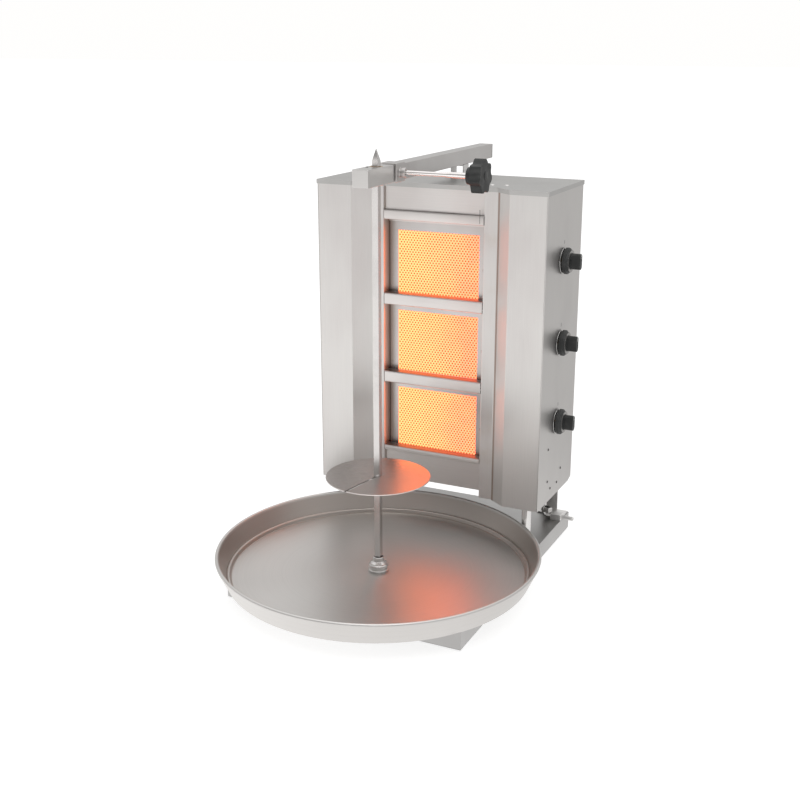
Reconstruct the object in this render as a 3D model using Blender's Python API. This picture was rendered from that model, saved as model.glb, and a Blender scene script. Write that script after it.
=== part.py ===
"""Gas rotisserie oven for a vertical spit: three radiant burners in a steel cabinet, a turning spit
that stands in a round drip tray, and a telescopic arm that steadies the spit's tip.

Metres, +Z up. +X is the side with the gas knobs, and -Y is the cook's side. Every piece is placed by
its distance from the spit's axis and its height above the table. The whole assembly hangs under one
empty, which sets the origin below the middle of the object's box.
"""

import math

import bmesh
import bpy
from mathutils import Matrix, Vector

# Sheet and fits
SHEET = 0.0015                 # cabinet and base sheet
GAP = 0.0003                   # between pieces that touch
BEND_RADIUS = 0.0015           # inside a folded corner
BEND_STEPS = 2
MERGE = 0.00001                # points this close are one
OVERCUT = 0.010                # how far a cutter runs past what it cuts
WELD = 0.001                   # overlap where two shapes are joined
CHAMFER = 0.001                # broken edge of a turned piece
SMOOTH_ANGLE = math.radians(35)

# Cabinet
CABINET_WIDTH = 0.500
CABINET_DEPTH = 0.220
CABINET_FRONT_Y = 0.225        # front of the wings, behind the spit's axis
CABINET_BOTTOM_Z = 0.1235
STRIP_WIDTH = 0.028            # flat strip on each side of the burner bay
BEVEL_RUN = 0.035              # slanted reflector, across
BEVEL_DEPTH = 0.025            # slanted reflector, front to back
RETURN_DEPTH = 0.032           # side wall of the burner bay
SIDE_CORNER_CUT = 0.018        # slanted lower rear corner of the side panels
FLOOR_RISE = 0.0165            # cabinet floor above the wings' lower edge
LID_LIP = 0.009                # turned-down edge of the top cover
LID_OVERHANG = 0.0015
HEADER_HEIGHT = 0.057          # plain panel above the top rail
SKIRT_HEIGHT = 0.060           # plain panel below the lowest rail
SKIRT_DROP = 0.003             # plain panel below the cabinet's floor

# Burners
BURNERS = ("bottom", "middle", "top")
CROSS_RAILS = ("lower", "upper")
WINDOW_WIDTH = 0.180           # visible glowing face
WINDOW_HEIGHT = 0.130
FRAME_BORDER = 0.020           # frame beside the window
BURNER_SPACING = 0.039         # between one window and the next
FRAME_DEPTH_Y = 0.028          # frame behind the strips
FRAME_LIP = 0.002              # frame over the plaque's edge
FRAME_SPACING = 0.003          # between one burner frame and the next
PLAQUE_THICKNESS = 0.013
PLAQUE_SETBACK = 0.005         # plaque behind the frame
PLENUM_DEPTH = 0.060
PLENUM_WALL = 0.0045           # plenum outside the plaque
VENTURI_RADIUS = 0.012
VENTURI_LENGTH = 0.030
RAIL_HEIGHT = 0.025
RAIL_DEPTH = 0.022
HEADER_STEP = 0.007            # plain panels behind the rails' faces
TOP_RAIL_HEIGHT = 0.020
TOP_RAIL_CLEARANCE = 0.0245    # top window to the top rail
CROSS_RAIL_CLEARANCE = 0.0155  # window to the cross rail above it
BOTTOM_RAIL_HEIGHT = 0.012
BOTTOM_RAIL_DROP = 0.008       # foot of the bottom rail below the lowest window

# Base
BASE_SIDE_INSET = 0.002        # base narrower than the cabinet, each side
BASE_FRONT_Y = -0.167
BASE_REAR_MARGIN = 0.008       # base behind the cabinet
BASE_TOP_Z = 0.040
FOOT_HEIGHT = 0.0035
FOOT_RADIUS = 0.016
FOOT_INSET = 0.032
RIB_HEIGHT = 0.006             # guides of the sliding carriage
POST_RADIUS = 0.010
POST_SIDE_INSET = 0.033
POST_SETBACK = 0.020           # least distance behind the cabinet's front
POST_TRAY_GAP = 0.0045
LEG_EDGE_INSET = 0.0275        # leg's outer edge inside the cabinet's side
LEG_WIDTH = 0.037
LEG_SHEET = 0.003
LEG_SHOULDER_Z = 0.0945        # where the leg starts to widen towards the cabinet
LEG_OVERLAP = 0.060            # leg plate up the back of the cabinet
LEG_SIDE_INSET = 0.002         # wide part of the leg inside the cabinet's side
LEG_CORNER_RISE = 0.004        # wide part's lower corner above the cabinet's lower edge
LEG_FOOT_REACH = 0.027         # foot flange in front of the leg

# Drip tray
TRAY_RADIUS = 0.321
TRAY_HEIGHT = 0.0480
TRAY_FLOOR_RADIUS = 0.302
TRAY_SHEET = 0.0018
TRAY_BEAD_RADIUS = 0.0038      # rolled rim
TRAY_RING_HEIGHT = 0.0085      # bead pressed round the floor
TRAY_RING_WIDTH = 0.006
TRAY_FOLD = 0.005              # slanted corner between floor and wall
TRAY_FOLD_RISE = 0.003
TRAY_NECK_HEIGHT = 0.0135
TRAY_STEPS = 72

# Spit, socket and disc
SPIT_SIDE = 0.012
SPIT_PLAY = 0.0003             # square hole round the spit, each side
SPIT_SHOULDER = 0.010          # square part of the spit above the end block
SPIT_POINT = 0.0225            # pyramid at the spit's tip
SOCKET_WALL = 0.0035
SOCKET_DEPTH = 0.0215
SOCKET_RISE = 0.016            # socket above the base's top
SOCKET_FLARE = 0.003           # cone between the shaft and the socket
NECK_GAP = 0.0030              # socket to the tray's neck, and to the slot in the base
SHAFT_RADIUS = 0.006
CAP_GAP = 0.0010               # drip cap to the tray's neck
CAP_WALL = 0.0015
CAP_COLLAR_HEIGHT = 0.0115
CAP_SEAT = 0.0008              # cap's roof above the socket
CAP_SKIRT_RISE = 0.009         # cap's lower edge above the base's top
CAP_FILLET = 0.002
DISC_RADIUS = 0.102
DISC_Z = 0.240
DISC_SHEET = 0.002
DISC_CHAMFER = 0.0005
DISC_SLOT_WIDTH = 0.004
DISC_SLOT_ANGLE = math.radians(259.5)
HUB_RADIUS = 0.016
HUB_HEIGHT = 0.019

# Arm and holder
ARM_SIDE = 0.030
ARM_WALL = 0.002
ARM_ABOVE_CABINET = 0.027
ARM_FRONT_Y = 0.0475
ARM_REAR_MARGIN = 0.085        # arm behind the cabinet
COLLAR_SIDE = 0.035            # thick collar at the arm's front end
COLLAR_LENGTH = 0.036
RAIL_PLAY = 0.0005             # inner rail inside the arm, each side
INNER_RAIL_LENGTH = 0.260
BLOCK_SIDE = 0.032
BLOCK_FRONT_Y = -0.0635
BLOCK_REAR_Y = 0.0385
BUSH_PLAY = 0.0008
BUSH_WALL = 0.003
BUSH_STAND = 0.0012            # bush below the block
BRACKET_Y = 0.385
BRACKET_LENGTH = 0.026
BRACKET_WIDTH = 0.056
BRACKET_SHEET = 0.003
CLAMP_BOSS_RADIUS = 0.009
CLAMP_BOSS_LENGTH = 0.011
CLAMP_ROD_RADIUS = 0.004
CLAMP_ROD_LENGTH = 0.134       # from the collar's side
CLAMP_SLEEVE_RADIUS = 0.0053
CLAMP_SLEEVE_LENGTH = 0.032    # thick end of the rod, beside the knob
CLAMP_TAPER = 0.015
CLAMP_KNOB_RADIUS = 0.0315
CLAMP_KNOB_THICKNESS = 0.0215
CLAMP_KNOB_LOBES = 7
CLAMP_KNOB_LOBE_DEPTH = 0.006
CLAMP_KNOB_STEPS = 6           # points of the outline on each lobe
CLAMP_HUB_RADIUS = 0.0155
CLAMP_HUB_LENGTH = 0.012

# Gas
KNOB_RISE = 0.0180             # knobs above their burners
KNOB_RADIUS = 0.0265
KNOB_STANDOFF = 0.0038         # knob above the side panel
KNOB_SKIRT = 0.0065
KNOB_STEP_RADIUS = 0.0235
KNOB_STEP = 0.0055
KNOB_GRIP_WIDTH = 0.015
KNOB_GRIP_LENGTH = 0.032
KNOB_GRIP_HEIGHT = 0.020
KNOB_GRIP_STEPS = 16
STEM_RADIUS = 0.004
STEM_PLAY = 0.0005             # stem in the valve
STEM_HOLE_PLAY = 0.0015        # stem in the side panel
STEM_IN_VALVE = 0.008
STEM_END_ROOM = 0.005          # room for the stem's travel
VALVE_RADIUS = 0.012
VALVE_LENGTH = 0.024
VALVE_PANEL_GAP = 0.0045
VALVE_STUB_RADIUS = 0.005
PIPE_RADIUS = 0.006
PIPE_HOLE_PLAY = 0.001
PIPE_TOP_RISE = 0.015          # pipe above the top valve
PIPE_SIDE_INSET = 0.024
PIPE_REAR_INSET = 0.045
PIPE_BEND_DROP = 0.020         # straight pipe below the cabinet's floor
PIPE_BEND_REACH = 0.013        # how far the bend swings inwards
PIPE_BEND_SHIFT = 0.011        # lower end of the bend inside the upper one
PIPE_BEND_STEPS = 12
FITTING_WIDTH = 0.023
FITTING_LENGTH = 0.018
FITTING_HEIGHT = 0.013
NIPPLE_RADIUS = 0.0045
NIPPLE_LENGTH = 0.027
NIPPLE_ROOT = 0.005            # nipple inside the fitting
BARB_LENGTH = 0.003
BARB_SWELL = 1.2

# Drive, under the base's top
GEAR_MODULE = 0.0016
WHEEL_TEETH = 45
PINION_TEETH = 15
GEAR_BACKLASH = 0.0004
GEAR_THICKNESS = 0.007
PINION_SHAFT_RADIUS = 0.003
PLATE_LENGTH_FRONT = 0.048
PLATE_LENGTH_REAR = 0.086
MOTOR_RADIUS = 0.028
BEARING_WALL = 0.003
BEARING_FLANGE = 0.004         # flange around the bearing, and its height
CASE_FLANGE = 0.008
CASE_CLEARANCE = 0.004         # case round the output gear
PLATE_SHEET = 0.002
PLATE_MARGIN = 0.004           # plate beyond the case, each side
GEAR_CLEARANCE = 0.001         # gears to the plate and to the case's roof
SHAFT_HOLE_PLAY = 0.001
CARRIAGE_PLAY = 0.001          # carriage between its guides, each side
CARRIAGE_TRAVEL = 0.050

# Worked out from the above
HALF_WIDTH = CABINET_WIDTH / 2
CABINET_REAR_Y = CABINET_FRONT_Y + CABINET_DEPTH
BAY_HALF = WINDOW_WIDTH / 2 + FRAME_BORDER
STRIP_Y = CABINET_FRONT_Y + BEVEL_DEPTH
FRAME_Y = STRIP_Y + FRAME_DEPTH_Y
FLOOR_Z = CABINET_BOTTOM_Z + FLOOR_RISE
SKIRT_BOTTOM_Z = FLOOR_Z - SKIRT_DROP
BOTTOM_RAIL_Z = SKIRT_BOTTOM_Z + SKIRT_HEIGHT
BURNER_PITCH = WINDOW_HEIGHT + BURNER_SPACING
LOWEST_BURNER_Z = BOTTOM_RAIL_Z + BOTTOM_RAIL_DROP + WINDOW_HEIGHT / 2
BURNER_HEIGHTS = [LOWEST_BURNER_Z + i * BURNER_PITCH for i in range(len(BURNERS))]
TOP_RAIL_Z = BURNER_HEIGHTS[-1] + WINDOW_HEIGHT / 2 + TOP_RAIL_CLEARANCE
CABINET_TOP_Z = TOP_RAIL_Z + TOP_RAIL_HEIGHT + HEADER_HEIGHT
BASE_HALF = HALF_WIDTH - BASE_SIDE_INSET
BASE_REAR_Y = CABINET_REAR_Y + BASE_REAR_MARGIN
SPIT_CORNER = SPIT_SIDE / math.sqrt(2)
SOCKET_RADIUS = SPIT_CORNER + SOCKET_WALL
SOCKET_TOP_Z = BASE_TOP_Z + SOCKET_RISE
NECK_RADIUS = SOCKET_RADIUS + NECK_GAP
ARM_BOTTOM_Z = CABINET_TOP_Z + ARM_ABOVE_CABINET
ARM_Z = ARM_BOTTOM_Z + ARM_SIDE / 2
ARM_REAR_Y = CABINET_REAR_Y + ARM_REAR_MARGIN
CLAMP_Y = ARM_FRONT_Y + COLLAR_LENGTH / 2
BLOCK_BOTTOM_Z = ARM_Z - BLOCK_SIDE / 2
BLOCK_TOP_Z = ARM_Z + BLOCK_SIDE / 2
SPIT_SHOULDER_Z = BLOCK_TOP_Z + SPIT_SHOULDER
KNOB_Y = CABINET_FRONT_Y + CABINET_DEPTH / 2
SPIT_Y = (TRAY_RADIUS - ARM_REAR_Y) / 2

COVER_TOP_Z = FOOT_HEIGHT + GAP + SHEET
PLATE_BOTTOM_Z = COVER_TOP_Z + GAP
PLATE_TOP_Z = PLATE_BOTTOM_Z + PLATE_SHEET
GEAR_BOTTOM_Z = PLATE_TOP_Z + GEAR_CLEARANCE
GEAR_TOP_Z = GEAR_BOTTOM_Z + GEAR_THICKNESS
CASE_TOP_Z = GEAR_TOP_Z + GEAR_CLEARANCE + SHEET
MOTOR_TOP_Z = BASE_TOP_Z - SHEET - GEAR_CLEARANCE
GEAR_CENTRES = GEAR_MODULE * (WHEEL_TEETH + PINION_TEETH) / 2
CASE_HALF = GEAR_MODULE * (WHEEL_TEETH + 2) / 2 + CASE_CLEARANCE
PLATE_HALF = CASE_HALF + CASE_FLANGE + PLATE_MARGIN

for old in list(bpy.data.objects):
    bpy.data.objects.remove(old, do_unlink=True)


# Materials

def steel(name, colour, roughness=0.32, metallic=1.0, glow=0.0):
    """A Principled material with the piece's own colour, roughness and metallic value."""
    made = bpy.data.materials.new(name)
    made.use_nodes = True
    shader = made.node_tree.nodes["Principled BSDF"]
    shader.inputs["Base Color"].default_value = (*colour, 1.0)
    shader.inputs["Roughness"].default_value = roughness
    shader.inputs["Metallic"].default_value = metallic
    if glow:
        shader.inputs["Emission Color"].default_value = (*colour, 1.0)
        shader.inputs["Emission Strength"].default_value = glow
    return made


CABINET_STEEL = steel("cabinet_steel", (0.62, 0.60, 0.59))
BASE_STEEL = steel("base_steel", (0.56, 0.56, 0.56), 0.36)
TRAY_STEEL = steel("tray_steel", (0.60, 0.59, 0.58), 0.28)
POLISHED = steel("polished_steel", (0.80, 0.79, 0.78), 0.12)
BLACK_PLASTIC = steel("black_plastic", (0.012, 0.012, 0.013), 0.38, 0.0)
RUBBER = steel("foot_rubber", (0.02, 0.02, 0.02), 0.8, 0.0)
CERAMIC = steel("glowing_ceramic", (1.0, 0.42, 0.10), 0.8, 0.0, 3.0)
CAST = steel("valve_brass", (0.72, 0.52, 0.24), 0.35)
MOTOR_PAINT = steel("motor_paint", (0.10, 0.11, 0.12), 0.5, 0.3)
NYLON = steel("gear_nylon", (0.78, 0.76, 0.70), 0.45, 0.0)
BRONZE = steel("bush_bronze", (0.60, 0.40, 0.22), 0.35)


# Pivots: one empty for the whole assembly, and one on the axis of each moving group

places = {}


def pivot(name, place, parent=None):
    """An empty at this place, measured from the spit's axis at table height."""
    empty = bpy.data.objects.new(name, None)
    bpy.context.scene.collection.objects.link(empty)
    places[name] = Vector(place)
    if parent is None:
        empty.location = Vector(place) + Vector((0, SPIT_Y, 0))
    else:
        empty.parent = parent
        empty.location = places[name] - places[parent.name]
    return empty


oven = pivot("oven", (0, 0, 0))
carriage = pivot("carriage", (0, 0, PLATE_BOTTOM_Z), oven)
drive = pivot("drive", (0, 0, GEAR_BOTTOM_Z), carriage)
pinion_axis = pivot("pinion_axis", (0, GEAR_CENTRES, GEAR_BOTTOM_Z), carriage)
spit = pivot("spit", (0, 0, SOCKET_TOP_Z), drive)
disc = pivot("disc", (0, 0, DISC_Z), spit)
holder = pivot("holder", (0, ARM_FRONT_Y, ARM_Z), oven)
clamp = pivot("clamp", (COLLAR_SIDE / 2, CLAMP_Y, ARM_Z), oven)


# Shapes

def keep(name, bm, material, parent, origin=None, smooth=False):
    """Turns the bmesh, drawn in assembly coordinates, into a named object with this origin."""
    bmesh.ops.remove_doubles(bm, verts=bm.verts, dist=MERGE)
    bmesh.ops.recalc_face_normals(bm, faces=bm.faces)
    mesh = bpy.data.meshes.new(name)
    bm.to_mesh(mesh)
    bm.free()
    origin = places[parent.name] if origin is None else Vector(origin)
    mesh.transform(Matrix.Translation(-origin))
    if material:
        mesh.materials.append(material)
    if smooth:
        mesh.shade_smooth()
        mesh.set_sharp_from_angle(angle=SMOOTH_ANGLE)
    made = bpy.data.objects.new(name, mesh)
    bpy.context.scene.collection.objects.link(made)
    made.parent = parent
    made.location = origin - places[parent.name]
    return made


def along(axis, u, v, w):
    """The point w along the axis, with u and v in the plane across it."""
    return {"X": (w, u, v), "Y": (u, w, v), "Z": (u, v, w)}[axis]


def prism(outline, axis, start, end):
    """A bmesh of a flat outline drawn out along an axis."""
    bm = bmesh.new()
    face = bm.faces.new([bm.verts.new(along(axis, u, v, start)) for u, v in outline])
    drawn = bmesh.ops.extrude_face_region(bm, geom=[face])
    moved = [item for item in drawn["geom"] if isinstance(item, bmesh.types.BMVert)]
    bmesh.ops.translate(bm, verts=moved, vec=along(axis, 0, 0, end - start))
    return bm


def rectangle(u0, u1, v0, v1):
    return [(u0, v0), (u1, v0), (u1, v1), (u0, v1)]


def block(low, high):
    """A bmesh box between two corners."""
    return prism(rectangle(low[0], high[0], low[1], high[1]), "Z", low[2], high[2])


def turned(profile, axis="Z", centre=(0, 0, 0), steps=32, flat_sided=False):
    """A bmesh of a profile of (radius, distance along the axis) turned once round the axis.

    A profile that starts and ends on the axis is a solid piece. Any other is a closed ring. A
    flat-sided piece has flats, not corners, where it faces along the other two axes.
    """
    bm = bmesh.new()
    centre = Vector(centre)
    lean = math.pi / steps if flat_sided else 0.0
    points = [bm.verts.new(centre + Vector(along(axis, r * math.cos(lean), r * math.sin(lean), w)))
              for r, w in profile]
    chain = [bm.edges.new(pair) for pair in zip(points, points[1:])]
    if profile[0][0] > 0:
        chain.append(bm.edges.new((points[-1], points[0])))
    bmesh.ops.spin(bm, geom=points + chain, cent=centre, axis=along(axis, 0, 0, 1),
                   angle=math.tau, steps=steps, use_merge=True)
    return bm


def cylinder(radius, axis, start, end, centre=(0, 0, 0), steps=24, flat_sided=False):
    profile = [(0, start), (radius, start), (radius, end), (0, end)]
    return turned(profile, axis, centre, steps, flat_sided)


def offset_path(path, distance):
    """The path moved sideways by a distance, its corners mitred."""
    ends = [Vector(point) for point in path]
    normals = []
    for a, b in zip(ends, ends[1:]):
        run = (b - a).normalized()
        normals.append(Vector((-run.y, run.x)))
    moved = [ends[0] + normals[0] * distance]
    for point, before, after in zip(ends[1:], normals, normals[1:]):
        bisector = (before + after).normalized()
        moved.append(point + bisector * distance / bisector.dot(before))
    moved.append(ends[-1] + normals[-1] * distance)
    return [tuple(point) for point in moved]


def rounded(path, radius):
    """The path with an arc of this radius in place of each inner corner."""
    soft = [path[0]]
    for before, corner, after in zip(path, path[1:], path[2:]):
        corner = Vector(corner)
        towards = (Vector(before) - corner).normalized()
        away = (Vector(after) - corner).normalized()
        half = towards.angle(away) / 2
        middle = corner + (towards + away).normalized() * radius / math.sin(half)
        start = corner + towards * radius / math.tan(half) - middle
        end = corner + away * radius / math.tan(half) - middle
        for step in range(BEND_STEPS + 1):
            spoke = start.lerp(end, step / BEND_STEPS).normalized()
            soft.append(tuple(middle + spoke * radius))
    return soft + [path[-1]]


def folded(path, thickness=SHEET):
    """The outline of a sheet folded along a path. The sheet lies on the path's left."""
    outer = rounded(path, BEND_RADIUS + thickness)
    return outer + offset_path(outer, thickness)[::-1]


def hat_section(half, flange, low, high, thickness):
    """The outline of a sheet folded into a channel, mouth down, with a flange on each side."""
    roof = high - thickness
    path = [(-flange, low), (-half, low), (-half, roof), (half, roof), (half, low), (flange, low)]
    return path + offset_path(path, thickness)[::-1]


def inset(outline, distance):
    """A closed outline, drawn anticlockwise, moved inwards with mitred corners."""
    closed = [outline[-1]] + list(outline) + [outline[0]]
    return offset_path(closed, distance)[1:-1]


def pan(outline, mouth, shut, wall=SHEET):
    """A bmesh of a sheet over an outline in the XY plane, its edge turned towards the mouth."""
    inner = inset(outline, wall)
    shut_inside = shut - math.copysign(wall, shut - mouth)
    bm = bmesh.new()
    rings = [[bm.verts.new((x, y, z)) for x, y in ring] for ring, z in
             ((outline, shut), (outline, mouth), (inner, mouth), (inner, shut_inside))]
    for first, second in zip(rings, rings[1:]):
        for i in range(len(first)):
            j = (i + 1) % len(first)
            bm.faces.new((first[i], first[j], second[j], second[i]))
    bm.faces.new(rings[0])
    bm.faces.new(rings[-1])
    return bm


def cut(target, name, bm):
    """Takes the bmesh away from the target. The cutter stays in the scene as a wire guide."""
    cutter = keep(name, bm, None, target.parent)
    cutter.hide_render = True
    cutter.display_type = "WIRE"
    taken = target.modifiers.new(name, "BOOLEAN")
    taken.operation = "DIFFERENCE"
    taken.solver = "EXACT"
    taken.object = cutter


def join(target, name, bm):
    """Welds the bmesh to the target."""
    extra = keep(name, bm, None, target.parent)
    extra.hide_render = True
    extra.display_type = "WIRE"
    welded = target.modifiers.new(name, "BOOLEAN")
    welded.operation = "UNION"
    welded.solver = "EXACT"
    welded.object = extra


def mirrored(outline):
    """The outline on the other side of the spit, still drawn anticlockwise."""
    return [(-u, v) for u, v in reversed(outline)]


def square_hole(low, high):
    half = SPIT_SIDE / 2 + SPIT_PLAY
    return block((-half, -half, low), (half, half, high))


# Base: a folded deck over a bottom sheet, on four rubber feet

def make_base():
    rim = rectangle(-BASE_HALF, BASE_HALF, BASE_FRONT_Y, BASE_REAR_Y)
    deck = keep("base_deck", pan(rim, FOOT_HEIGHT, BASE_TOP_Z), BASE_STEEL, oven)
    slot = prism(rectangle(-NECK_RADIUS, NECK_RADIUS, -CARRIAGE_TRAVEL - NECK_RADIUS, NECK_RADIUS),
                 "Z", BASE_TOP_Z - OVERCUT, BASE_TOP_Z + OVERCUT)
    cut(deck, "drive_slot", slot)

    edge = BASE_HALF - SHEET - GAP
    bottom = FOOT_HEIGHT + GAP
    rib = PLATE_HALF + CARRIAGE_PLAY
    outline = [(-edge, bottom), (edge, bottom), (edge, COVER_TOP_Z),
               (rib + SHEET, COVER_TOP_Z), (rib + SHEET, COVER_TOP_Z + RIB_HEIGHT),
               (rib, COVER_TOP_Z + RIB_HEIGHT), (rib, COVER_TOP_Z),
               (-rib, COVER_TOP_Z), (-rib, COVER_TOP_Z + RIB_HEIGHT),
               (-rib - SHEET, COVER_TOP_Z + RIB_HEIGHT), (-rib - SHEET, COVER_TOP_Z),
               (-edge, COVER_TOP_Z)]
    front = BASE_FRONT_Y + SHEET + GAP
    keep("base_bottom_cover", prism(outline, "Y", front, BASE_REAR_Y - SHEET - GAP),
         BASE_STEEL, oven)

    for side, x in (("left", -1), ("right", 1)):
        for end, y in (("front", BASE_FRONT_Y + FOOT_INSET), ("rear", BASE_REAR_Y - FOOT_INSET)):
            centre = (x * (BASE_HALF - FOOT_INSET), y, 0)
            pad = [(0, 0), (FOOT_RADIUS - CHAMFER, 0), (FOOT_RADIUS, CHAMFER),
                   (FOOT_RADIUS, FOOT_HEIGHT), (0, FOOT_HEIGHT)]
            keep(f"foot_{end}_{side}", turned(pad, "Z", centre, 20), RUBBER, oven, centre, True)


def make_supports():
    post_x = HALF_WIDTH - POST_SIDE_INSET
    reach = TRAY_RADIUS + POST_TRAY_GAP + POST_RADIUS
    clear_y = math.sqrt(max(reach ** 2 - post_x ** 2, 0.0))
    post_y = max(clear_y, CABINET_FRONT_Y + POST_SETBACK)
    low, high = BASE_TOP_Z + GAP, FLOOR_Z - GAP
    outer = HALF_WIDTH - LEG_EDGE_INSET
    inner = outer - LEG_WIDTH
    leg = [(inner, low), (outer, low), (outer, LEG_SHOULDER_Z),
           (HALF_WIDTH - LEG_SIDE_INSET, CABINET_BOTTOM_Z + LEG_CORNER_RISE),
           (HALF_WIDTH - LEG_SIDE_INSET, CABINET_BOTTOM_Z + LEG_OVERLAP),
           (inner, CABINET_BOTTOM_Z + LEG_OVERLAP)]
    for side, sign in (("left", -1), ("right", 1)):
        centre = (sign * post_x, post_y, 0)
        keep(f"front_post_{side}", cylinder(POST_RADIUS, "Z", low, high, centre),
             POLISHED, oven, centre, True)
        outline = leg if sign > 0 else mirrored(leg)
        start = CABINET_REAR_Y + GAP
        plate = keep(f"rear_leg_{side}", prism(outline, "Y", start, start + LEG_SHEET),
                     BASE_STEEL, oven)
        reach = sorted((sign * inner, sign * (BASE_HALF - LEG_SIDE_INSET)))
        join(plate, f"leg_foot_{side}",
             block((reach[0], start - LEG_FOOT_REACH, low),
                   (reach[1], start + LEG_SHEET, low + LEG_SHEET)))


# Cabinet: two side panels, two folded wings, a lid, a floor, a back, and panels round the burners

def make_cabinet():
    panel_top = CABINET_TOP_Z - SHEET - GAP
    side = [(CABINET_FRONT_Y, CABINET_BOTTOM_Z),
            (CABINET_REAR_Y - SIDE_CORNER_CUT, CABINET_BOTTOM_Z),
            (CABINET_REAR_Y, CABINET_BOTTOM_Z + SIDE_CORNER_CUT / 3),
            (CABINET_REAR_Y, panel_top), (CABINET_FRONT_Y, panel_top)]
    wing_path = [(HALF_WIDTH - SHEET - GAP, CABINET_FRONT_Y),
                 (BAY_HALF + STRIP_WIDTH + BEVEL_RUN, CABINET_FRONT_Y),
                 (BAY_HALF + STRIP_WIDTH, STRIP_Y),
                 (BAY_HALF, STRIP_Y),
                 (BAY_HALF, STRIP_Y + RETURN_DEPTH)]
    wing = folded(wing_path[::-1])
    for side_name, sign in (("left", -1), ("right", 1)):
        start, end = sorted((sign * HALF_WIDTH, sign * (HALF_WIDTH - SHEET)))
        panel = keep(f"side_panel_{side_name}", prism(side, "X", start, end), CABINET_STEEL, oven)
        outline = wing if sign > 0 else mirrored(wing)
        keep(f"wing_{side_name}", prism(outline, "Z", CABINET_BOTTOM_Z, panel_top),
             CABINET_STEEL, oven)
        if sign > 0:
            for number, height in enumerate(BURNER_HEIGHTS, 1):
                hole = cylinder(STEM_RADIUS + STEM_HOLE_PLAY, "X", HALF_WIDTH - OVERCUT,
                                HALF_WIDTH + OVERCUT, (0, KNOB_Y, height + KNOB_RISE), 16)
                cut(panel, f"stem_hole_{number}", hole)

    edge = HALF_WIDTH + LID_OVERHANG
    lid_path = [(edge, CABINET_FRONT_Y), *wing_path[1:3], (0, STRIP_Y)]
    front = offset_path(rounded(lid_path, BEND_RADIUS + SHEET), LID_OVERHANG)[:-1]
    lid = [(-x, y) for x, y in front] + front[::-1]
    lid += [(edge, CABINET_REAR_Y + LID_OVERHANG), (-edge, CABINET_REAR_Y + LID_OVERHANG)]
    keep("top_cover", pan(lid, CABINET_TOP_Z - LID_LIP, CABINET_TOP_Z, SHEET - GAP),
         CABINET_STEEL, oven)

    inside = HALF_WIDTH - SHEET - GAP
    keep("rear_cover",
         block((-inside, CABINET_REAR_Y - SHEET, FLOOR_Z), (inside, CABINET_REAR_Y, panel_top)),
         CABINET_STEEL, oven)
    behind = offset_path(rounded(wing_path, BEND_RADIUS + SHEET), -SHEET - GAP)
    outline = [(-x, y) for x, y in behind] + behind[::-1]
    outline += [(inside, CABINET_REAR_Y - SHEET - GAP), (-inside, CABINET_REAR_Y - SHEET - GAP)]
    floor = keep("cabinet_floor", prism(outline, "Z", FLOOR_Z, FLOOR_Z + SHEET), CABINET_STEEL, oven)
    cut(floor, "pipe_hole", cylinder(PIPE_RADIUS + PIPE_HOLE_PLAY, "Z", FLOOR_Z - OVERCUT,
                                     FLOOR_Z + OVERCUT, (*pipe_place(), 0), 16))


def pipe_place():
    return HALF_WIDTH - PIPE_SIDE_INSET, CABINET_REAR_Y - PIPE_REAR_INSET


def make_bay_panels():
    half = BAY_HALF - GAP
    face, deep = STRIP_Y, STRIP_Y + RAIL_DEPTH
    panel = STRIP_Y + HEADER_STEP
    top_edge = CABINET_TOP_Z - SHEET - GAP
    header = [(deep, TOP_RAIL_Z), (face, TOP_RAIL_Z), (face, TOP_RAIL_Z + TOP_RAIL_HEIGHT),
              (panel, TOP_RAIL_Z + TOP_RAIL_HEIGHT), (panel, top_edge)]
    keep("centre_top_panel", prism(folded(header[::-1]), "X", -half, half), CABINET_STEEL, oven)
    lip_top = BOTTOM_RAIL_Z + BOTTOM_RAIL_HEIGHT
    skirt = [(panel, SKIRT_BOTTOM_Z), (panel, BOTTOM_RAIL_Z), (face, BOTTOM_RAIL_Z),
             (face, lip_top), (deep, lip_top)]
    keep("centre_bottom_panel", prism(folded(skirt[::-1]), "X", -half, half), CABINET_STEEL, oven)
    for name, below in zip(CROSS_RAILS, BURNER_HEIGHTS):
        low = below + WINDOW_HEIGHT / 2 + CROSS_RAIL_CLEARANCE
        rail = [(deep, low), (face, low), (face, low + RAIL_HEIGHT), (deep, low + RAIL_HEIGHT)]
        keep(f"burner_rail_{name}", prism(folded(rail[::-1]), "X", -half, half),
             CABINET_STEEL, oven)


# Burners: a frame, a perforated ceramic plaque and a plenum with its venturi, three times over

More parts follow.
